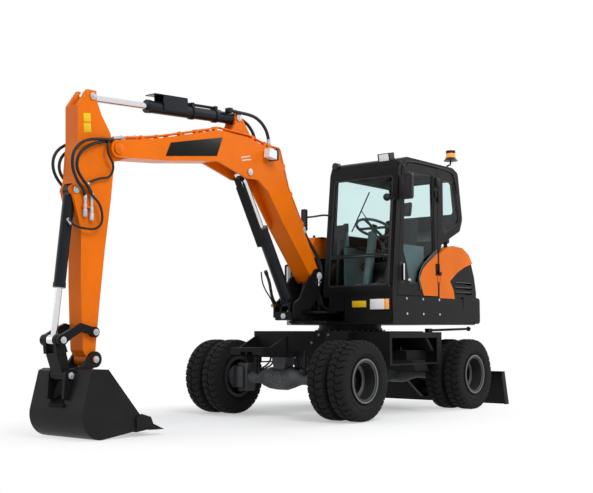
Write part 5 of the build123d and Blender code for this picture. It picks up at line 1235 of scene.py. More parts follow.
# ------------------------------------------------------------------ house
@dataclass
class House:
    """Lamps, bolts, trim, latches and vents on the slewing house."""

    front_x: float = 410.0
    door_y: float = 905.0
    skirt_bolts_x: tuple[float, ...] = (144.0, -172.0, -500.0)
    skirt_bolts_z: tuple[float, ...] = (1038, 1194)

    def skirt_bolts(self) -> bpy.types.Object:
        """Domed bolts in two rows along both skirts.

        Returns:
            The bolts.
        """
        spots = []
        for side in (1, -1):
            for x in self.skirt_bolts_x:
                for z in self.skirt_bolts_z:
                    spots.append((Bench.seat(at(x, side * 1200, z), RIGHT * side), LEFT * side))
        return Bench.stamp(Bench.button(13, 6), spots)

    def head_lamps(self, yard: Yard) -> None:
        """White lenses with amber ends in dark housings.

        Args:
            yard: where finished pieces are handed over.
        """
        x = self.front_x + 26
        lenses = [
            Bench.block((x - 6, 646, 1080), (x + 9, 822, 1186), 6),
            Bench.block((x - 6, -362, 1080), (x + 9, -274, 1186), 6),
        ]
        ambers = [
            Bench.block((x - 8, 828, 1080), (x + 8, 876, 1186), 6),
            Bench.block((x - 6, -416, 1080), (x + 8, -368, 1186), 6),
        ]
        yard.deliver(lenses, "head_lamp_lenses", "upper", Finish.LENS)
        yard.deliver(ambers, "turn_lamp_lenses", "upper", Finish.AMBER)
        plate = Bench.block((self.front_x + 1, 402, 1105), (self.front_x + 7, 579, 1171), 2)
        yard.deliver([plate], "blank_plate", "upper", Finish.YELLOW)

    def door_trim(self, yard: Yard) -> None:
        """Dark band along the coloured panel's leading edge, with a light grey line along its outer edge that is a
        painted highlight.

        Args:
            yard: where finished pieces are handed over.
        """
        y = self.door_y * MM
        edge = [(-462, 1702), (-261, 1584), (-165, 1516), (-100, 1408), (-146, 1302)]
        outer = [(-118, 1296), (-68, 1412), (-140, 1540), (-244, 1612), (-448, 1732)]
        band = Bench.plate([at(px, 0, pz) + LEFT * (y - 0.003) for px, pz in edge + outer], LEFT * 0.005, 1.0)
        yard.deliver([band], "door_edge_band", "cab_door", Finish.TRIM)
        # The light grey tube along the band's outer edge is a painted highlight.
        lip = Bench.tube([at(px, self.door_y + 3, pz) for px, pz in outer[::-1]], 3.5)
        yard.deliver([lip], "door_edge_painted_highlight", "cab_door", Finish.RING)

    def door_fittings(self, yard: Yard) -> None:
        """The grab handle in front of a black block that is painted shade of its recess, and a blank plate.

        Args:
            yard: where finished pieces are handed over.
        """
        # A flat black block in place of the handle's recess: its dark is painted shade, as no recess is cut.
        recess = Bench.block((200, 896, 1352), (272, 903, 1566), 3)
        yard.deliver([recess], "handle_painted_recess_shade", "cab_door", Finish.TRIM)
        grip = Bench.rod(at(237, 929, 1382), at(237, 929, 1548), 9.5, 9.5, 16, 3)
        ends = [Bench.rod(at(237, 898, z), at(237, 931, z), 8, 8, 12, 1) for z in (1388, 1542)]
        yard.deliver([grip, *ends], "door_grip", "cab_door", Finish.CHROME)
        yard.deliver(
            [Bench.block((66, 899, 1380), (112, 903, 1402), 1)], "blank_door_plate", "cab_door", Finish.PALE,
        )

    def latches(self, yard: Yard) -> None:
        """The cover latch on the seam behind the door and the rubber buffer under the cab.

        Args:
            yard: where finished pieces are handed over.
        """
        frame_points = [at(x, 903, z) for x, z in ((-452, 1372), (-518, 1372), (-518, 1470), (-452, 1470))]
        frame_piece = Bench.rim(frame_points, 9, LEFT * 0.004, 0.8)
        lever = Bench.block((-506, 902, 1386), (-464, 907, 1456), 3)
        yard.deliver([frame_piece], "cover_latch_recess", "cab_door", Finish.LATCH)
        yard.deliver([lever], "cover_latch", "cab_door", Finish.ORANGE)
        buffer = Bench.rod(at(-735, 800, 1856), at(-735, 880, 1856), 38, 34, 28, 8)
        stem = Bench.rod(at(-735, 845, 1780), at(-735, 845, 1850), 24, 18, 20, 3)
        yard.deliver([buffer, stem], "cab_buffer", "upper", Finish.TRIM)

    def tail(self, yard: Yard) -> None:
        """Black rings that are painted shade of bolt recesses, lifting eyes and lamps on the tail weight.

        Args:
            yard: where finished pieces are handed over.
        """
        # The small black rings are painted shade of bolt recesses; no recess is cut.
        rings = []
        for side in (1, -1):
            spot = Bench.seat(at(-1250, side * 1500, 1179), RIGHT * side)
            rings.append(Bench.hoop(spot, LEFT * side, 15, 4))
        eyes = []
        for y in (-300, 300):
            eyes.append(Bench.hoop(at(-1480, y, 1262), LEFT, 24, 8, 24))
        yard.deliver(rings + eyes, "tail_eyes_and_painted_recess_shade", "upper", Finish.TRIM)
        red = []
        for y in (-560, 560):
            spot = Bench.seat(at(-2400, y, 1090), AHEAD)
            red.append(Bench.rod(spot - AHEAD * 0.012, spot + AHEAD * 0.02, 44, 44, 32, 4))
        yard.deliver(red, "tail_lamps", "upper", Finish.RED)
        reflectors = [Bench.seat(at(-2400, y, 1090), AHEAD) for y in (-430, 430)]
        discs = [Bench.rod(p - AHEAD * 0.008, p + AHEAD * 0.02, 32, 32, 32, 3) for p in reflectors]
        yard.deliver(discs, "tail_turn_lamps", "upper", Finish.AMBER)

    def hood(self, yard: Yard) -> None:
        """Hood handle, exhaust stub, side louvre lips and the filler cap on the right housing.

        Args:
            yard: where finished pieces are handed over.
        """
        lips = []
        for low in (1268, 1322, 1376):
            lips.append(Bench.block((-1206, 880, low + 22), (-866, 893, low + 27), 1.5))
        yard.deliver(lips, "louvre_lips", "upper", Finish.RING)
        rear = []
        for low in (1286, 1326, 1366):
            rear.append(Bench.block((-1563, -326, low + 19), (-1548, 326, low + 25), 1.5))
        yard.deliver(rear, "hood_louvre_lips", "engine_hood", Finish.TRIM)
        grip = Bench.tube(
            [
                at(-1555, -70, 1470), at(-1585, -70, 1470), at(-1592, 0, 1470), at(-1585, 70, 1470),
                at(-1555, 70, 1470),
            ],
            8,
        )
        yard.deliver([grip], "hood_grip", "engine_hood", Finish.TRIM)
        cap = Bench.rod(at(-60, -540, 1882), at(-60, -540, 1912), 52, 48, 32, 4)
        knob = Bench.rod(at(120, -330, 1882), at(120, -330, 1900), 20, 20, 20, 2)
        ball = Bench.rod(at(120, -330, 1898), at(120, -330, 1924), 12, 15, 20, 4)
        strap = Bench.block((60, -300, 1884), (170, -180, 1894), 4)
        yard.deliver([cap, knob, ball, strap], "tank_cap", "upper", Finish.TRIM)
        stub = Bench.tube(
            [at(-1180, -640, 1740), at(-1180, -640, 1830), at(-1190, -640, 1870), at(-1230, -640, 1890)], 34,
        )
        yard.deliver([stub], "exhaust_stub", "engine_hood", Finish.ENGINE)

    def build(self, yard: Yard) -> None:
        """Builds everything on the house outside the cab.

        Args:
            yard: where finished pieces are handed over.
        """
        yard.deliver([self.skirt_bolts()], "skirt_bolts", "upper", Finish.ZINC)
        self.head_lamps(yard)
        self.door_trim(yard)
        self.door_fittings(yard)
        self.latches(yard)
        self.tail(yard)
        self.hood(yard)


# ------------------------------------------------------------------ cab
@dataclass
class Cab:
    """Seals, lamps, mirrors, wiper, seat and controls of the cab."""

    seat_x: float = -190.0
    seat_y: float = 460.0
    deck_z: float = 1265.6
    seal: float = 16.0
    lamp_lean: float = 12.0
    lamp_depth: float = 41.0
    cloth_grain: float = 0.009
    cloth_pressure: float = 4.0
    cloth_frames: int = 20

    @staticmethod
    def front_x(z: float) -> float:
        """X of the leaning windshield plane at a height."""
        return 409.0 - 127.0 * (z - 1272.0) / 1261.0

    def before_pane(self, y: float, z: float, out: float) -> Vector:
        """A point some millimetres in front of the windshield."""
        return at(self.front_x(z) + out, y, z)

    def seals(self, yard: Yard) -> None:
        """Rubber seals round every pane, set in the openings.

        Args:
            yard: where finished pieces are handed over.
        """
        door = [
            (70, 2540), (-400, 2540), (-420, 1725), (-160, 1500), (-95, 1350), (90, 1345), (150, 1560),
            (205, 1690), (165, 2440),
        ]
        quarter = [(-590, 2520), (-850, 2520), (-955, 2110), (-930, 2050), (-590, 1900)]
        right = [(190, 2520), (-850, 2520), (-955, 2110), (-930, 2050), (-560, 1890), (240, 1890)]
        ring = Bench.rim([at(x, 882, z) for x, z in door], self.seal, LEFT * 0.012)
        yard.deliver([ring], "door_seal", "cab_door", Finish.TRIM)
        fixed = [Bench.rim([at(x, 884, z) for x, z in quarter], self.seal, LEFT * 0.012)]
        fixed.append(Bench.rim([at(x, 29, z) for x, z in right], self.seal, LEFT * 0.012))
        lean = Vector((127.0, 0, 1261.0)).normalized()
        out = Vector((lean.z, 0, lean.x)) * -1
        for low, high in ((1320, 1637), (1643, 2470)):
            corners = [
                at(self.front_x(z), y, z) + out * 0.010
                for y, z in ((76, low), (845, low), (845, high), (76, high))
            ]
            fixed.append(Bench.rim(corners, 18, out * -0.008))
        yard.deliver(fixed, "window_seals", "upper", Finish.TRIM)

    def wiper(self, yard: Yard) -> None:
        """The wiper on the windshield's upper pane with its motor cover.

        Args:
            yard: where finished pieces are handed over.
        """
        face = self.before_pane
        arm = Bench.tube([face(800, 1690, 22), face(770, 1730, 26), face(610, 1960, 22), face(470, 2120, 16)], 5)
        blade = Bench.tube([face(360, 1900, 10), face(440, 2060, 12), face(560, 2310, 10)], 7)
        motor = Bench.rod(face(806, 1682, -4), face(806, 1682, 30), 24, 20, 20, 3)
        yard.deliver([arm, blade, motor], "wiper", "upper", Finish.TRIM)

    def lights(self, yard: Yard) -> None:
        """The roof's work lamps and the amber beacon.

        Args:
            yard: where finished pieces are handed over.
        """
        lean = Matrix.Rotation(math.radians(self.lamp_lean), 4, "Y")
        lens = Bench.block((190, 628, 2620), (200, 752, 2718), 5)
        middle = at(190, 690, 2669)
        move = Matrix.Translation(middle) @ lean @ Matrix.Translation(
            AHEAD * self.lamp_depth * MM - at(195, 690, 2669)
        )
        lens.data.transform(move)
        small = Bench.rod(at(256, 70, 2639), at(268, 70, 2639), 36, 34, 28, 3)
        yard.deliver([lens], "roof_lamp_lens", "upper", Finish.LENS)
        yard.deliver([small], "side_lamp_lens", "upper", Finish.TRIM)
        dome = Bench.rod(at(-985, 780, 2822), at(-985, 780, 2908), 57, 52, 36, 6)
        ribs = Bench.rod(at(-985, 780, 2800), at(-985, 780, 2822), 60, 60, 36, 3)
        yard.deliver([dome], "beacon_lens", "upper", Finish.AMBER)
        yard.deliver([ribs], "beacon_foot", "upper", Finish.TRIM)

    def mirrors(self, yard: Yard) -> None:
        """Mirror faces, looking back.

        Args:
            yard: where finished pieces are handed over.
        """
        left = Bench.block((231, 915, 2222), (236, 1047, 2460), 2)
        right = Bench.block((401, -256, 1955), (406, -202, 2170), 2)
        yard.deliver([left, right], "mirror_faces", "upper", Finish.CHROME)
        clamp = Bench.rod(at(262, 985, 2380), at(262, 985, 2420), 15, 15, 20, 3)
        ridge = Bench.block((272, 925, 2240), (279, 1035, 2450), 6)
        yard.deliver([clamp, ridge], "mirror_shells", "upper", Finish.TRIM)

    def pillar(self, yard: Yard) -> None:
        """Latch box on the rear pillar and gutter over the door.

        Args:
            yard: where finished pieces are handed over.
        """
        latch = Bench.block((-530, 896, 2420), (-440, 914, 2520), 5)
        gutter = Bench.tube(
            [
                at(250, 901, 2300), at(215, 903, 2560), at(150, 903, 2640), at(-700, 903, 2640),
                at(-840, 903, 2600), at(-900, 901, 2400),
            ],
            7,
        )
        yard.deliver([latch, gutter], "door_gutter", "upper", Finish.CHARCOAL)

    def cushion(self, low: Sequence[float], high: Sequence[float], lean: float, swell: float) -> bpy.types.Object:
        """One padded cushion: a rounded block swollen by a short cloth run.

        Args:
            low: its lowest corner before leaning.
            high: its highest corner.
            lean: turn about the cross axis in degrees.
            swell: how far a point may move, in millimetres.

        Returns:
            The cushion.
        """
        pad = Bench.block([v + 10 for v in low], [v - 10 for v in high], 34)
        Bench.modify(pad, "REMESH", mode="VOXEL", voxel_size=self.cloth_grain)
        before = [v.co.copy() for v in pad.data.vertices]
        Bench.alone(pad)
        cloth = pad.modifiers.new("stuffing", "CLOTH")
        cloth.settings.use_pressure = True
        cloth.settings.uniform_pressure_force = self.cloth_pressure
        cloth.settings.effector_weights.gravity = 0.0
        for number in range(1, self.cloth_frames + 1):
            bpy.context.scene.frame_set(number)
        bpy.ops.object.modifier_apply(modifier=cloth.name)
        bpy.context.scene.frame_set(1)
        for vertex, old in zip(pad.data.vertices, before):
            step = vertex.co - old
            if step.length > swell * MM:
                vertex.co = old + step.normalized() * swell * MM
        Bench.modify(pad, "SUBSURF", levels=1, render_levels=1)
        middle = (at(*low) + at(*high)) / 2
        pad.data.transform(
            Matrix.Translation(middle) @ Matrix.Rotation(math.radians(lean), 4, "Y") @ Matrix.Translation(-middle)
        )
        return pad

    def seat(self, yard: Yard) -> None:
        """The suspension seat: two padded cushions, a padded headrest, its box and armrests.

        Args:
            yard: where finished pieces are handed over.
        """
        x, y, z = self.seat_x, self.seat_y, self.deck_z
        parts = {
            "seat_cushion": ((x - 225, y - 235, z + 228), (x + 270, y + 235, z + 328), -1.5, 8.0),
            "seat_back": ((x - 268, y - 225, z + 305), (x - 172, y + 225, z + 850), -10.0, 8.0),
            "seat_headrest": ((x - 322, y - 125, z + 845), (x - 250, y + 125, z + 1035), -10.0, 6.0),
        }
        for name, (low, high, lean, swell) in parts.items():
            piece = yard.deliver([self.cushion(low, high, lean, swell)], name, "upper", Finish.SEAT)
            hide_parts("seat")
        box = Bench.block((x - 190, y - 190, z), (x + 190, y + 190, z + 120), 10)
        bellows = [
            Bench.block(
                (x - 170 - 8 * (k % 2), y - 170 - 8 * (k % 2), z + 120 + 22 * k),
                (x + 170 + 8 * (k % 2), y + 170 + 8 * (k % 2), z + 142 + 22 * k), 6,
            )
            for k in range(5)
        ]
        rests = []
        for side in (1, -1):
            low, high = sorted((y + side * 242, y + side * 308))
            rests.append(Bench.block((x - 185, low, z + 470), (x + 185, high, z + 508), 12))
            rests.append(
                Bench.tube(
                    [
                        at(x - 200, y + side * 275, z + 490), at(x - 215, y + side * 275, z + 430),
                        at(x - 200, y + side * 240, z + 330),
                    ],
                    14,
                )
            )
        piece = yard.deliver([box, *bellows, *rests], "seat_frame", "upper", Finish.TRIM)
        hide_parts("seat")

    def controls(self, yard: Yard) -> None:
        """Lever grips, the display, the horn button and floor mat.

        Args:
            yard: where finished pieces are handed over.
        """
        x, y, z = self.seat_x, self.seat_y, self.deck_z
        grips = []
        for side in (1, -1):
            foot = at(x + 305, y + side * 347, z + 660)
            grips.append(Bench.rod(foot, foot + Vector((0.006, 0, 0.1)), 25, 29, 20, 8))
            grips.append(Bench.hoop(at(x + 290, y + side * 347, z + 500), UP, 34, 8, 20))
        grips.append(Bench.block((295, 96, z + 560), (325, 246, z + 720), 8))
        grips.append(Bench.rod(at(318, 130, z), at(310, 165, z + 570), 14, 12, 12, 1))
        mat = Bench.block((-60, 250, z), (330, 720, z + 8), 3)
        horn = Bench.rod(at(96, y, z + 696), at(88, y, z + 716), 46, 40, 24, 4)
        yard.deliver([*grips, mat, horn], "cab_grips", "upper", Finish.TRIM)

    def build(self, yard: Yard) -> None:
        """Builds the cab's trim and its inside.

        Args:
            yard: where finished pieces are handed over.
        """
        self.seals(yard)
        self.wiper(yard)
        self.lights(yard)
        self.mirrors(yard)
        self.pillar(yard)
        self.seat(yard)
        self.controls(yard)


# ------------------------------------------------------------------ swing post, boom and arm
def caps_at(pins: Iterable[Pin], radius: float, start_y: float = 420.0) -> bpy.types.Object:
    """Pin heads on both outer faces of what stands at each (x, z).

    Args:
        pins: each pin's x and z in machine millimetres.
        radius: the radius in millimetres.
        start_y: how far out the search for the outer face begins.

    Returns:
        All the pin heads as one piece.
    """
    spots = []
    for x, z in pins:
        for side in (1, -1):
            spots.append((Bench.seat(at(x, side * start_y, z), RIGHT * side), LEFT * side))
    return Bench.stamp(pin_cap(radius), spots)


def ferrule(start: Vector, end: Vector, radius: float) -> bpy.types.Object:
    """A crimped hose end with its nut.

    Args:
        start: where it starts.
        end: where it ends.
        radius: the radius in millimetres.

    Returns:
        The hose end.
    """
    line = (end - start).normalized()
    sleeve = Bench.rod(start, end, radius, radius, 18, 2)
    nut = Bench.rod(start, start + line * radius * 1.1 * MM, radius * 1.25, radius * 1.25, 6, 1)
    crimp = Bench.rod(end - line * 0.012, end - line * 0.004, radius * 1.08, radius * 1.08, 18, 1)
    return Bench.join([sleeve, nut, crimp])


@dataclass
class Boom:
    """Plates, lamp shell, pipes, fittings and pin heads of the boom and the post that carries it."""

    half: float = 110.0
    pipe_radius: float = 8.0
    pipe_x: tuple[float, ...] = (2500, 2700, 2880, 3060, 3230)
    pipe_y: tuple[float, float] = (76.0, 98.0)
    pipe_lift: float = 0.021
    clamp_x: tuple[float, ...] = (2620, 2900, 3080)
    clamp_y: float = 87
    above: float = 3300  # where a search for the boom's top begins
    lowest: float = 2.2  # a find below this isn't the boom's top

    def signs(self, yard: Yard) -> None:
        """Blank dark panels and pale strips on both flanks.

        Args:
            yard: where finished pieces are handed over.
        """
        corners = [(2747, 2529), (2078, 2678), (2153, 2490), (2806, 2400)]
        strips = [((1820, 2527), (1691, 2557)), ((1806, 2500), (1673, 2527))]
        panels, lines = [], []
        for side in (1, -1):
            face = side * (self.half + 0.3)
            panels.append(Bench.plate([at(x, face, z) for x, z in corners], LEFT * side * 0.003, 1.0))
            for (x0, z0), (x1, z1) in strips:
                outline = [at(x0, face, z0), at(x1, face, z1), at(x1, face, z1 - 11), at(x0, face, z0 - 11)]
                lines.append(Bench.plate(outline, LEFT * side * 0.002, 0.5))
        yard.deliver(panels, "boom_side_panels", "boom", Finish.CHARCOAL)
        yard.deliver(lines, "boom_side_strips", "boom", Finish.PALE)

    def pipes(self, yard: Yard) -> None:
        """Painted pipes that go on along the boom's top to the hoses at its tip, with their clamps.

        Args:
            yard: where finished pieces are handed over.
        """
        runs, clamps, ends = [], [], []
        for side in (1, -1):
            for y in self.pipe_y:
                tops = [Bench.seat(at(x, side * y, self.above), DOWN) + UP * self.pipe_lift for x in self.pipe_x]
                tops = [spot for spot in tops if spot.z > self.lowest]
                last = tops[-1]
                line = [at(2440, side * y, 2681), *tops, last + Vector((0.09, 0, -0.012))]
                runs.append(Bench.tube(line, self.pipe_radius))
                ends.append(ferrule(last + Vector((0.07, 0, -0.01)), last + Vector((0.17, 0, -0.03)), 14))
            for x in self.clamp_x:
                foot = Bench.seat(at(x, side * self.clamp_y, self.above), DOWN).z
                if foot < self.lowest:
                    continue
                y, z = side * self.clamp_y, foot / MM
                clamps.append(Bench.block((x - 14, y - 22, z - 1), (x + 14, y + 22, z + 33), 4))
        yard.deliver(runs + clamps, "boom_tip_pipes", "boom", Finish.ORANGE)
        yard.deliver(ends, "boom_tip_fittings", "boom", Finish.ZINC)

    def fittings(self, yard: Yard) -> None:
        """Hose ends at the pipe unions and below the foot.

        Args:
            yard: where finished pieces are handed over.
        """
        ends = []
        for side in (1, -1):
            y = side * 89
            ends.append(ferrule(at(1390, y, 2709), at(1390, y, 2762), 19))
            ends.append(ferrule(at(846, side * 87, 1926), at(812, side * 87, 1873), 22))
        yard.deliver(ends, "boom_hose_ends", "boom", Finish.ZINC)
        low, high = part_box("boom_lamp")
        x, y, z = (low[0] - SHIFT_X) / MM, low[1] / MM, low[2] / MM
        shell = Bench.block((x - 4, y - 4, z - 5), (x + 22, high[1] / MM + 4, high[2] / MM + 5), 4)
        yard.deliver([shell], "boom_lamp_shell", "boom", Finish.TRIM)

    def pins(self, yard: Yard) -> None:
        """Pin heads of the boom's own pivots.

        Args:
            yard: where finished pieces are handed over.
        """
        yard.deliver([caps_at((BOOM_CYLINDER_PIN, ARM_CYLINDER_BASE), 33)], "boom_pin_heads", "boom", Finish.ZINC)
        yard.deliver([caps_at((BOOM_TIP,), 47)], "boom_tip_heads", "boom", Finish.ORANGE)
        yard.deliver([caps_at((BOOM_FOOT,), 40)], "boom_foot_heads", "swing_post", Finish.ZINC)

    def post(self, yard: Yard) -> None:
        """Fittings on the swing post: a crossed pair of bright unions, a brass plug and hose tails.

        Args:
            yard: where finished pieces are handed over.
        """
        bright = [
            Bench.rod(at(655, 150, 1328), at(655, 150, 1398), 9, 9, 12, 2),
            Bench.rod(at(655, 118, 1364), at(655, 178, 1364), 9, 9, 12, 2),
        ]
        spot = Bench.seat(at(2300, -128, 1120), BACK)
        plug = Bench.rod(spot - AHEAD * 0.01, spot + AHEAD * 0.035, 21, 18, 24, 3)
        cap = Bench.seat(at(2300, 40, 1010), BACK)
        oval = Bench.rod(cap - AHEAD * 0.01, cap + AHEAD * 0.012, 30, 27, 28, 3)
        yard.deliver(bright, "post_unions", "swing_post", Finish.CHROME)
        yard.deliver([plug], "post_plug", "swing_post", Finish.BRASS)
        yard.deliver([oval], "post_cap", "swing_post", Finish.ZINC)
        tails = []
        for side in (1, -1):
            for k in range(3):
                y = side * (34 + 22 * k)
                tails.append(
                    Bench.tube(
                        [
                            at(560, y, 1255), at(520, y, 1200), at(500, y, 1130), at(455, y, 1095),
                            at(405, y * 1.1, 1085),
                        ],
                        9,
                    )
                )
        yard.deliver(tails, "post_hose_tails", "upper", Finish.HOSE)

    def build(self, yard: Yard) -> None:
        """Builds the boom's trim.

        Args:
            yard: where finished pieces are handed over.
        """
        self.signs(yard)
        self.pipes(yard)
        self.fittings(yard)
        self.pins(yard)
        self.post(yard)


@dataclass
class Arm:
    """Hoses over the boom's tip, couplers, blank plates and pin heads of the arm."""

    face_y: float = 80.0
    far_tuck: float = 0.93  # how much nearer the right side's loops keep
    loop_foot: tuple[float, float] = (3400, 100)
    hose_radius: float = 13.0
    thin_radius: float = 10.0
    plate_lean: float = 0.06

    def hoses(self, yard: Yard) -> None:
        """Two hoses each side that loop from the boom's pipes over to the arm's couplers.

        Args:
            yard: where finished pieces are handed over.
        """
        start, end = at(3430, 0, 2460), at(3740, 0, 2140)
        loops = {
            "outer": [
                (3400, 98, 2455), (3560, 128, 2440), (3740, 146, 2400), (3852, 150, 2300), (3862, 146, 2170),
                (3790, 128, 2060), (3700, 104, 2000), (3684, 100, 1950),
            ],
            "inner": [
                (3400, 78, 2452), (3540, 112, 2420), (3680, 132, 2370), (3792, 136, 2280), (3806, 132, 2160),
                (3720, 118, 2070), (3640, 104, 2020), (3616, 100, 1970),
            ],
        }
        for side, word in ((1, "left"), (-1, "right")):
            for name, points in loops.items():
                tuck = 1.0 if side == 1 else self.far_tuck
                near_x, near_y = self.loop_foot
                line = [
                    at(near_x + (x - near_x) * tuck, side * (near_y + (y - near_y) * tuck), z)
                    for x, y, z in points
                ]
                hose = Bench.tube(line, self.hose_radius)
                piece = yard.deliver([hose], f"tip_hose_{name}_{word}", "arm", Finish.HOSE)
                self.bend(piece, start, end)
        long = [
            (3400, 60, 2470), (3478, 128, 2440), (3488, 134, 2330), (3400, 122, 2240), (3430, 112, 2130),
            (3560, 108, 2112), (3662, 106, 2062),
        ]
        hose = Bench.tube([at(*p) for p in long], self.thin_radius)
        piece = yard.deliver([hose], "tip_hose_lower", "arm", Finish.HOSE)
        self.bend(piece, at(3440, 0, 2430), at(3440, 0, 2200))

    @staticmethod
    def bend(piece: bpy.types.Object, start: Vector, end: Vector) -> None:
        """Takes a hose off its body and bakes its place into its mesh."""
        piece.parent = None
        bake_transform(piece)

    def couplers(self, yard: Yard) -> None:
        """Bright quick couplers on brackets on both flanks, and the elbow of the lower hose.

        Args:
            yard: where finished pieces are handed over.
        """
        bodies, stays = [], []
        for side in (1, -1):
            y = side * 100
            for x, top, low in ((3684, 1962, 1782), (3616, 1982, 1756)):
                bodies.append(Bench.rod(at(x, y, low), at(x, y, low + 62), 18, 18, 20, 4))
                bodies.append(Bench.rod(at(x, y, low + 60), at(x, y, low + 108), 15, 15, 20, 2))
                bodies.append(Bench.rod(at(x, y, low + 106), at(x, y, top - 40), 13, 13, 6, 1))
                bodies.append(Bench.rod(at(x, y, top - 42), at(x, y, top), 15, 14, 18, 2))
            low_y, high_y = sorted((side * (self.face_y - 1), side * (self.face_y + 26)))
            stays.append(Bench.block((3590, low_y, 1856), (3708, high_y, 1872), 3))
        yard.deliver(bodies, "arm_couplers", "arm", Finish.ZINC)
        elbow = [Bench.rod(at(3656, 106, 2064), at(3672, 106, 2030), 13, 13, 16, 2)]
        yard.deliver(stays, "coupler_stays", "arm", Finish.ORANGE)
        yard.deliver(elbow, "lower_hose_elbow", "arm", Finish.ZINC)

    def cylinder_hose(self, yard: Yard) -> None:
        """The hose that swings round from the elbow to the bucket cylinder's port.

        Args:
            yard: where finished pieces are handed over.
        """
        points = [
            (3668, 106, 2042), (3650, 118, 1975), (3540, 130, 1890), (3520, 130, 1740), (3600, 128, 1680),
            (3720, 122, 1684), (3800, 104, 1700), (3822, 66, 1752),
        ]
        line = Bench.tube([at(*p) for p in points], self.thin_radius)
        piece = yard.deliver([line], "bucket_cylinder_hose", "arm", Finish.HOSE)
        piece.parent = None
        tuple(at(3640, 0, 1700))
        tuple(at(3820, 0, 1740))
        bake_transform(piece)
        port = [Bench.rod(at(3806, 84, 1712), at(3824, 58, 1758), 13, 13, 16, 3)]
        yard.deliver(port, "bucket_cylinder_port", "bucket_barrel", Finish.ZINC)

    def plates(self, yard: Yard) -> None:
        """Two blank yellow plates on each flank.

        Args:
            yard: where finished pieces are handed over.
        """
        plates = []
        for side in (1, -1):
            face = side * (self.face_y + 0.3)
            for top, low in ((2641, 2570), (2560, 2484)):
                corners = ((3622, top, 6), (3696, top, -6), (3692, low, -6), (3618, low, 6))
                outline = [at(x + self.plate_lean * (z - 2484), face, z + slope) for x, z, slope in corners]
                plates.append(Bench.plate(outline, LEFT * side * 0.002, 0.5))
        yard.deliver(plates, "arm_blank_plates", "arm", Finish.YELLOW)

    def build(self, yard: Yard) -> None:
        """Builds the arm's trim.

        Args:
            yard: where finished pieces are handed over.
        """
        self.couplers(yard)
        self.hoses(yard)
        self.cylinder_hose(yard)
        self.plates(yard)
        yard.deliver([caps_at((ARM_CYLINDER_PIN, BUCKET_CYLINDER_BASE), 30)], "arm_pin_heads", "arm", Finish.ZINC)


@dataclass
class Bucket:
    """Pin heads of the bucket and its links."""

    pin_radius: float = 27.0
    inside: float = 200.0  # between the bucket's cheeks

    def build(self, yard: Yard) -> None:
        """Builds the bucket's trim.

        Args:
            yard: where finished pieces are handed over.
        """
        yard.deliver([caps_at((IDLER_PIN,), self.pin_radius)], "idler_pin_heads", "arm", Finish.ZINC)
        yard.deliver([caps_at((LINK_PIN,), self.pin_radius)], "link_pin_heads", "idler", Finish.ZINC)
        yard.deliver([caps_at((BUCKET_PIN,), self.pin_radius, self.inside)], "arm_foot_heads", "arm", Finish.ZINC)
        yard.deliver(
            [caps_at((H_LINK_PIN,), self.pin_radius, self.inside)], "bucket_pin_heads", "bucket", Finish.ZINC,
        )


@dataclass
class PilotLine:
    """The thin pilot hose beside the boom cylinder."""

    radius: float = 7.0

    def build(self, yard: Yard) -> None:
        """Builds the hose and takes it off the cylinder's body.

        Args:
            yard: where finished pieces are handed over.
        """
        thin = [
            at(1452, 52, 1440), at(1448, 56, 1350), at(1400, 60, 1262), at(1310, 50, 1190), at(1220, 10, 1130),
            at(1150, -30, 1105),
        ]
        line = Bench.tube(thin, self.radius)
        piece = yard.deliver([line], "pilot_hose", "boom_barrel", Finish.HOSE)
        piece.parent = None
        tuple(at(1180, 0, 1110))
        tuple(at(1420, 0, 1330))
        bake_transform(piece)


# ------------------------------------------------------------------ studio
LAMPS: dict[str, tuple[Point, float, float]] = {
    "key": ((3.0, 6.0, 7.5), 4.0, 400.0),
    "fill": ((7.0, -5.0, 4.5), 5.0, 60.0),
    "rim": ((-6.0, 3.0, 6.0), 4.0, 170.0),
}  # place, diameter and power


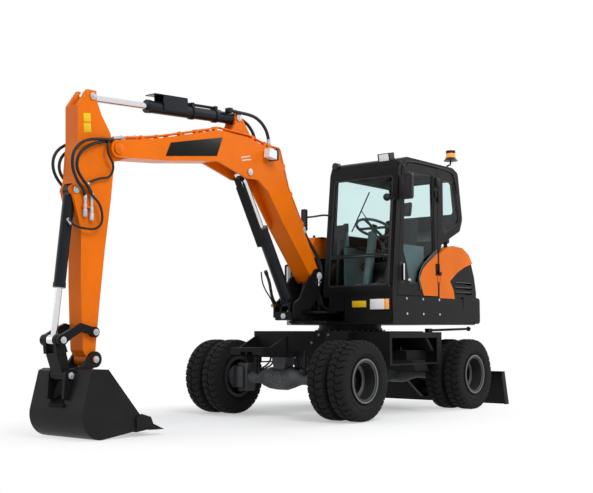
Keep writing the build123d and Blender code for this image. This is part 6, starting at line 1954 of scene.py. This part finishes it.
@dataclass
class Studio:
    """Camera, lamps, world and floor."""

    eye: Point = (8870.0, 6528.0, 845.0)
    yaw: float = -140.9
    pitch: float = 4.74
    lens: float = 60.8
    shift_y: float = 0.005
    target: Point = (0.0, 0.0, 1.2)
    floor_size: float = 60.0
    fade: tuple[float, float] = (1.15, 2.1)  # where the floor begins and ends its fade to white
    fade_middle: float = 0.1
    fade_squeeze: float = 0.62  # the fade reaches further along the machine than across
    lift: float = 0.4  # how white the floor is near the machine

    def build(self) -> None:
        """Builds everything that isn't the machine."""
        scene = bpy.context.scene
        scene.view_settings.view_transform = "Standard"
        data = bpy.data.cameras.new("camera")
        data.lens, data.sensor_width, data.shift_y = self.lens, 36.0, self.shift_y
        data.clip_end = 200.0
        camera = bpy.data.objects.new("camera", data)
        scene.collection.objects.link(camera)
        yaw, pitch = math.radians(self.yaw), math.radians(self.pitch)
        look = Vector((math.cos(yaw) * math.cos(pitch), math.sin(yaw) * math.cos(pitch), math.sin(pitch)))
        camera.rotation_mode = "QUATERNION"
        camera.rotation_quaternion = look.to_track_quat("-Z", "Y")
        camera.location = at(*self.eye)
        scene.camera = camera
        for name, (place, size, power) in LAMPS.items():
            self.lamp(name, place, size, power)
        self.world()
        self.floor()

    def lamp(self, name: str, place: Point, size: float, power: float) -> None:
        """Adds one soft area lamp.

        Args:
            name: the lamp's name.
            place: where it stands, in metres.
            size: its diameter in metres.
            power: its power in watts.
        """
        data = bpy.data.lights.new(name, "AREA")
        data.shape, data.size, data.energy = "DISK", size, power
        lamp = bpy.data.objects.new(name, data)
        lamp.location = place
        lamp.rotation_euler = (Vector(self.target) - Vector(place)).to_track_quat("-Z", "Y").to_euler()
        bpy.context.scene.collection.objects.link(lamp)

    def world(self) -> None:
        """A pale even sky that shows white behind the machine."""
        world = bpy.data.worlds.new("sky")
        bpy.context.scene.world = world
        world.use_nodes = True
        tree = world.node_tree
        tree.nodes.clear()
        rays = tree.nodes.new("ShaderNodeLightPath")
        seen = tree.nodes.new("ShaderNodeMath")
        seen.operation, seen.use_clamp = "ADD", True
        tree.links.new(rays.outputs["Is Camera Ray"], seen.inputs[0])
        tree.links.new(rays.outputs["Is Transmission Ray"], seen.inputs[1])
        add = tree.nodes.new("ShaderNodeMath")
        add.operation, add.use_clamp = "ADD", True
        tree.links.new(seen.outputs[0], add.inputs[0])
        tree.links.new(rays.outputs["Is Glossy Ray"], add.inputs[1])
        dim, bright, mix = (
            tree.nodes.new(k)
            for k in ("ShaderNodeBackground", "ShaderNodeBackground", "ShaderNodeMixShader")
        )
        dim.inputs[0].default_value, dim.inputs[1].default_value = (0.9, 0.95, 1.0, 1.0), 0.55
        bright.inputs[0].default_value, bright.inputs[1].default_value = (1.0, 1.0, 1.0, 1.0), 1.0
        out = tree.nodes.new("ShaderNodeOutputWorld")
        tree.links.new(add.outputs[0], mix.inputs[0])
        tree.links.new(dim.outputs[0], mix.inputs[1])
        tree.links.new(bright.outputs[0], mix.inputs[2])
        tree.links.new(mix.outputs[0], out.inputs[0])

    def floor(self) -> None:
        """A pale floor that fades to white away from the machine and keeps its shadow."""
        bpy.ops.object.select_all(action="DESELECT")
        bpy.ops.mesh.primitive_plane_add(size=self.floor_size, location=(0, 0, 0))
        floor = bpy.context.active_object
        floor.name = "studio_floor"
        r = Recipe("floor_paper")
        r.set(Base_Color=(0.9, 0.9, 0.9), Roughness=0.95, Specular_IOR_Level=0.05)
        x, y, _ = r.axes()
        long = (x - self.fade_middle) * self.fade_squeeze
        far = ((long * long + y * y) ** 0.5).ramp(*self.fade)
        rays = r.node("ShaderNodeLightPath")
        seen = Value(r.tree, rays.outputs["Is Camera Ray"]) + Value(r.tree, rays.outputs["Is Glossy Ray"])
        seen = (seen + Value(r.tree, rays.outputs["Is Transmission Ray"])).clamped()
        glow = r.node("ShaderNodeEmission", Color=(1.0, 1.0, 1.0, 1.0), Strength=1.0)
        mix = r.node("ShaderNodeMixShader")
        r.feed(mix.inputs[0], (far * (1.0 - self.lift) + self.lift) * seen)
        r.feed(mix.inputs[1], r.shader.outputs[0])
        r.feed(mix.inputs[2], glow.outputs[0])
        r.feed(r.output.inputs[0], mix.outputs[0])
        floor.data.materials.append(r.material)


def main() -> None:
    """Builds the pieces in order."""
    logging.basicConfig(level=logging.INFO, format="%(message)s")
    wardrobe = Wardrobe()
    Studio().build()
    dress_nodes(wardrobe)
    yard = Yard(wardrobe)
    for assembly in (TwinWheels(), Undercarriage(), House(), Cab(), Boom(), Arm(), Bucket(), PilotLine()):
        LOG.info("building %s", type(assembly).__name__)
        assembly.build(yard)


if __name__ == "__main__":
    main()
